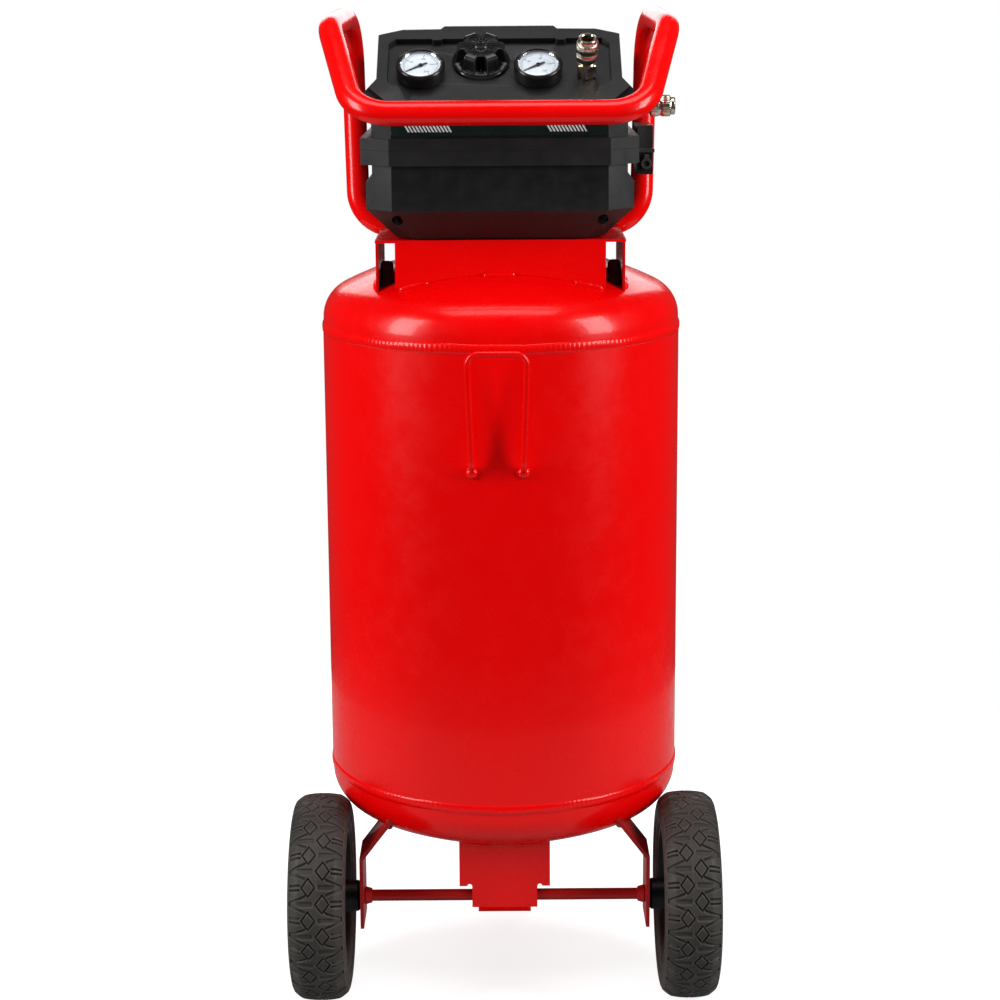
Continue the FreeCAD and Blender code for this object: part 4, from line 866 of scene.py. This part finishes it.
def knob():
    place = on_panel(KNOB_X, KNOB_UP)
    line = [
        (0, 17.6), (3.4, 17.6), (3.8, 18), (6.6, 18), (7.4, 17.2), (7.4, 16), (8.4, 15.6), (12.8, 16),
        (21.4, 16), (23.6, 15.4), (25.0, 13.9), (25.6, 11), (25.9, 6), (26.1, 2), (26.5, 0.2),
        (27.4, -0.9), (28.3, -1.3), (28.6, -2.3), (29.5, -2.4), (30.3, -3.2), (30.3, -5.4),
        (5.05, -5.4), (5.05, 6.9), (0, 7),
    ]
    bite = [0] * 8 + [2.4, 8.4, 9.8, 10.2, 10.3, 9.6, 5.0, 0.8] + [0] * 8

    def lobes(angle, index, radius, height):
        turn = (angle + math.pi / 2 + math.pi / 6) % (math.pi / 3) - math.pi / 6
        if bite[index] == 0:
            return radius, height
        lobe = max(0.0, math.pi / 6 - abs(turn))
        face = math.cos(0.24) / math.cos(min(lobe, 0.24)) if lobe < 0.24 else 1.0
        hollow = max(0.0, 1 - (abs(turn) / 0.27) ** 3)
        return radius * face - bite[index] * hollow, height

    grip = lathe(line, place, 360, lobes, ring=False)
    piece("knob_grip", [grip], "knob", PLASTIC_GLOSS, ["regulator_knob"], sharp=38)
    fins = []
    for number in range(18):
        turn = 2 * math.pi * number / 18
        cos, sin = math.cos(turn), math.sin(turn)
        corners = [(8.0, -0.45), (12.4, -0.45), (12.4, 0.45), (8.0, 0.45)]
        section = [(a * cos - b * sin, a * sin + b * cos) for a, b in corners]
        fins.append(prism(section, 15.2, 17.2, place, 0.25))
    fins.append(prism([(0, -25.4), (1.7, -18.4), (-1.7, -18.4)], -0.6, 2.4, place, 0.4))
    piece("knob_fins", fins, "knob", PLASTIC_GLOSS)
    stem = rounded_profile(
        [(0, -46), (11.5, -46), (11.5, -6.6), (5, -6.6), (5, 6), (0, 6)], 0.6, 2, False)
    piece("regulator_stem", [lathe(stem, place, 48, ring=False)], "machine", CAST,
          ["regulator_body"])


def coupler(name, place, node, body, stem):
    barrel = [
        (4, -stem), (6.5, -stem), (6.5, PANEL_FLOOR), (8, PANEL_FLOOR), (8, 36), (9.3, 36), (9.6, 36.4),
        (9.6, 39), (9.2, 40), (8.6, 40.5), (6.9, 40.5), (6.1, 39.7), (6.1, 16), (4, 16),
    ]
    shapes = [lathe(barrel, place, 64)]
    nut = [(7.9, PANEL_FLOOR), (9.5, PANEL_FLOOR), (10.96, -4.8), (10.96, 8.9), (9.5, 9.8), (7.9, 9.8)]

    def six(angle, index, radius, height):
        turn = (angle + math.pi / 6) % (math.pi / 3) - math.pi / 6
        return min(radius, 9.5 / math.cos(turn)) if radius > 8 else radius, height

    shapes.append(lathe(nut, place, 96, six))
    piece(f"{name}_barrel", shapes, "machine", NICKEL, [f"{node}_body"], sharp=28)
    line = [
        (8.3, 14), (10.1, 14), (11.1, 14.7), (11.5, 15.6), (11.5, 18.7), (11.5, 22), (10.7, 23.1),
        (10.5, 24.4), (10.7, 25.7), (11.5, 26.8), (11.5, 30.6), (11.5, 34.4), (10.9, 35.4), (10.3, 35.7),
        (8.3, 35.7),
    ]

    def knurl(angle, index, radius, height):
        notch = 0.3 * (0.5 + 0.5 * math.cos(angle * 40)) if index in (3, 4, 5, 9, 10, 11) else 0.0
        return radius - notch, height

    ring = lathe(line, place, 240, knurl)
    piece(f"{name}_collar", [ring], body, NICKEL, [f"{node}_sleeve"], sharp=40)


def switch_box():
    rounded_copy("pressure_switch", 1.6, PLASTIC_FINE, segments=3, name="switch_case")
    rounded_copy("switch_lever", 0.8, BLACK_RUBBER, "lever", name="switch_toggle")
    place = Place(GLAND_AT, (1, 0, 0), (0, 0, -1), (0, 1, 0))
    line = [(3.5, -10.1), (5.5, -10.1), (5.5, 0)]
    for number in range(5):
        low = 0.1 + number * 1.7
        line += [(5.6 + number * 0.15, low), (6.6, low + 0.4), (6.6, low + 1.0)]
        line += [(5.6 + number * 0.15, low + 1.3)]
    line += [(7, 8.8), (7, 10), (3.5, 10)]
    piece("cord_collar", [lathe(line, place, 40)], "machine", BLACK_RUBBER, ["cord_gland"])


def inner_finish():
    """Finishes of the CAD nodes that show as they are."""
    finish = {
        BLACK_RUBBER: ["intake_filter"],
        STEEL: ["safety_ring", "motor_shaft", "valve_plate", "capacitor"],
        BRASS: ["check_valve", "safety_valve", "drain_valve", "drain_handle", "riser_pipe"],
        CAST: ["manifold", "crankcase", "pump_cylinder", "cylinder_head", "piston", "discharge_tube"],
        LAMINATE: ["motor_stator", "motor_rotor"],
        RED: ["tank_bungs"],
        RED_DULL: ["motor_base"],
        PLASTIC_FINE: ["cooling_fan"],
    }
    for material, names in finish.items():
        for name in names:
            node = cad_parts[name]
            node.data.materials.clear()
            node.data.materials.append(material)


# ---------------------------------------------------------------- studio

def floor_material():
    """Pale paper with a soft contact shadow, fading to the backdrop's white at its rim."""
    material = bpy.data.materials.new("floor_paper")
    material.use_nodes = True
    tree = material.node_tree
    shader = tree.nodes["Principled BSDF"]
    shader.inputs["Base Color"].default_value = (0.42, 0.42, 0.42, 1)
    shader.inputs["Roughness"].default_value = 0.9
    shader.inputs["Emission Color"].default_value = (1, 1, 1, 1)
    coords = tree.nodes.new("ShaderNodeTexCoord")
    away = tree.nodes.new("ShaderNodeVectorMath")
    away.operation = "LENGTH"
    fade = tree.nodes.new("ShaderNodeMapRange")
    for socket, value in (("From Min", 0.3), ("From Max", 0.62), ("To Min", 0.82), ("To Max", 1.0)):
        fade.inputs[socket].default_value = value
    rays = tree.nodes.new("ShaderNodeLightPath")
    glow = tree.nodes.new("ShaderNodeMath")
    glow.operation = "MULTIPLY"
    tree.links.new(coords.outputs["Object"], away.inputs[0])
    tree.links.new(away.outputs["Value"], fade.inputs["Value"])
    tree.links.new(fade.outputs["Result"], glow.inputs[0])
    tree.links.new(rays.outputs["Is Camera Ray"], glow.inputs[1])
    tree.links.new(glow.outputs[0], shader.inputs["Emission Strength"])
    return material


def area_lamp(name, at, aim, size, power, colour=(1, 1, 1)):
    data = bpy.data.lights.new(name, "AREA")
    data.shape = "RECTANGLE"
    data.size, data.size_y = size
    data.energy = power
    data.color = colour
    lamp = bpy.data.objects.new(name, data)
    lamp.location = at
    lamp.rotation_euler = (Vector(aim) - Vector(at)).to_track_quat("-Z", "Y").to_euler()
    bpy.context.scene.collection.objects.link(lamp)


def studio():
    mesh = bpy.data.meshes.new("floor")
    turns = [2 * math.pi * number / 96 for number in range(96)]
    rim_points = [(1.15 * math.cos(turn), 1.15 * math.sin(turn), 0) for turn in turns]
    mesh.from_pydata(rim_points, [], [tuple(range(96))])
    mesh.materials.append(floor_material())
    floor = bpy.data.objects.new("floor", mesh)
    floor.location.z = -0.0003
    bpy.context.scene.collection.objects.link(floor)
    world = bpy.data.worlds.new("studio")
    bpy.context.scene.world = world
    world.use_nodes = True
    tree = world.node_tree
    back = tree.nodes["Background"]
    rays = tree.nodes.new("ShaderNodeLightPath")
    level = tree.nodes.new("ShaderNodeMapRange")
    level.inputs["To Min"].default_value = 0.05
    level.inputs["To Max"].default_value = 1.0
    tree.links.new(rays.outputs["Is Camera Ray"], level.inputs["Value"])
    tree.links.new(level.outputs[0], back.inputs["Strength"])
    back.inputs["Color"].default_value = (1, 1, 1, 1)
    area_lamp("left_box", (-2.15, -1.05, 1.45), (0, 0, 0.55), (0.8, 1.8), 62)
    area_lamp("right_box", (2.15, -1.05, 1.45), (0, 0, 0.55), (0.8, 1.8), 62)
    area_lamp("top_box", (0.0, -0.35, 2.7), (0, 0, 0.6), (1.8, 1.0), 22)
    area_lamp("back_box", (0.0, 2.4, 1.9), (0, 0, 0.6), (2.4, 1.2), 24)


def camera():
    data = bpy.data.cameras.new("camera")
    data.sensor_width = 36
    data.lens = 79.78
    data.shift_y = -0.045
    data.clip_end = 100
    obj = bpy.data.objects.new("camera", data)
    pitch, roll = math.radians(11.717), math.radians(-0.402)
    forward = Vector((0, math.cos(pitch), -math.sin(pitch)))
    right, up = Vector((1, 0, 0)), Vector((0, math.sin(pitch), math.cos(pitch)))
    x_axis = right * math.cos(roll) + up * math.sin(roll)
    y_axis = -right * math.sin(roll) + up * math.cos(roll)
    turn = Matrix((x_axis, y_axis, -forward)).transposed().to_4x4()
    turn.translation = Vector((-1.97 * MM, -2442.8 * MM + AXIS_Y, 1096.9 * MM))
    obj.matrix_world = turn
    bpy.context.scene.collection.objects.link(obj)
    bpy.context.scene.camera = obj
    bpy.context.scene.view_settings.view_transform = "Standard"


tank()
saddle_and_feet()
handle_and_hook()
wheels()
shrouds()
gauge("left", GAUGE_LEFT_X, 200)
gauge("right", GAUGE_RIGHT_X, 160)
knob()
coupler("front_coupler", on_panel(COUPLER_X, COUPLER_UP), "coupler_front", "sleeve_front", 46)
side_place = Place(SIDE_COUPLER_AT, (0, 1, 0), (0, 0, 1), (1, 0, 0))
coupler("side_coupler", side_place, "coupler_side", "sleeve_side", 33.4)
switch_box()
inner_finish()
studio()
camera()
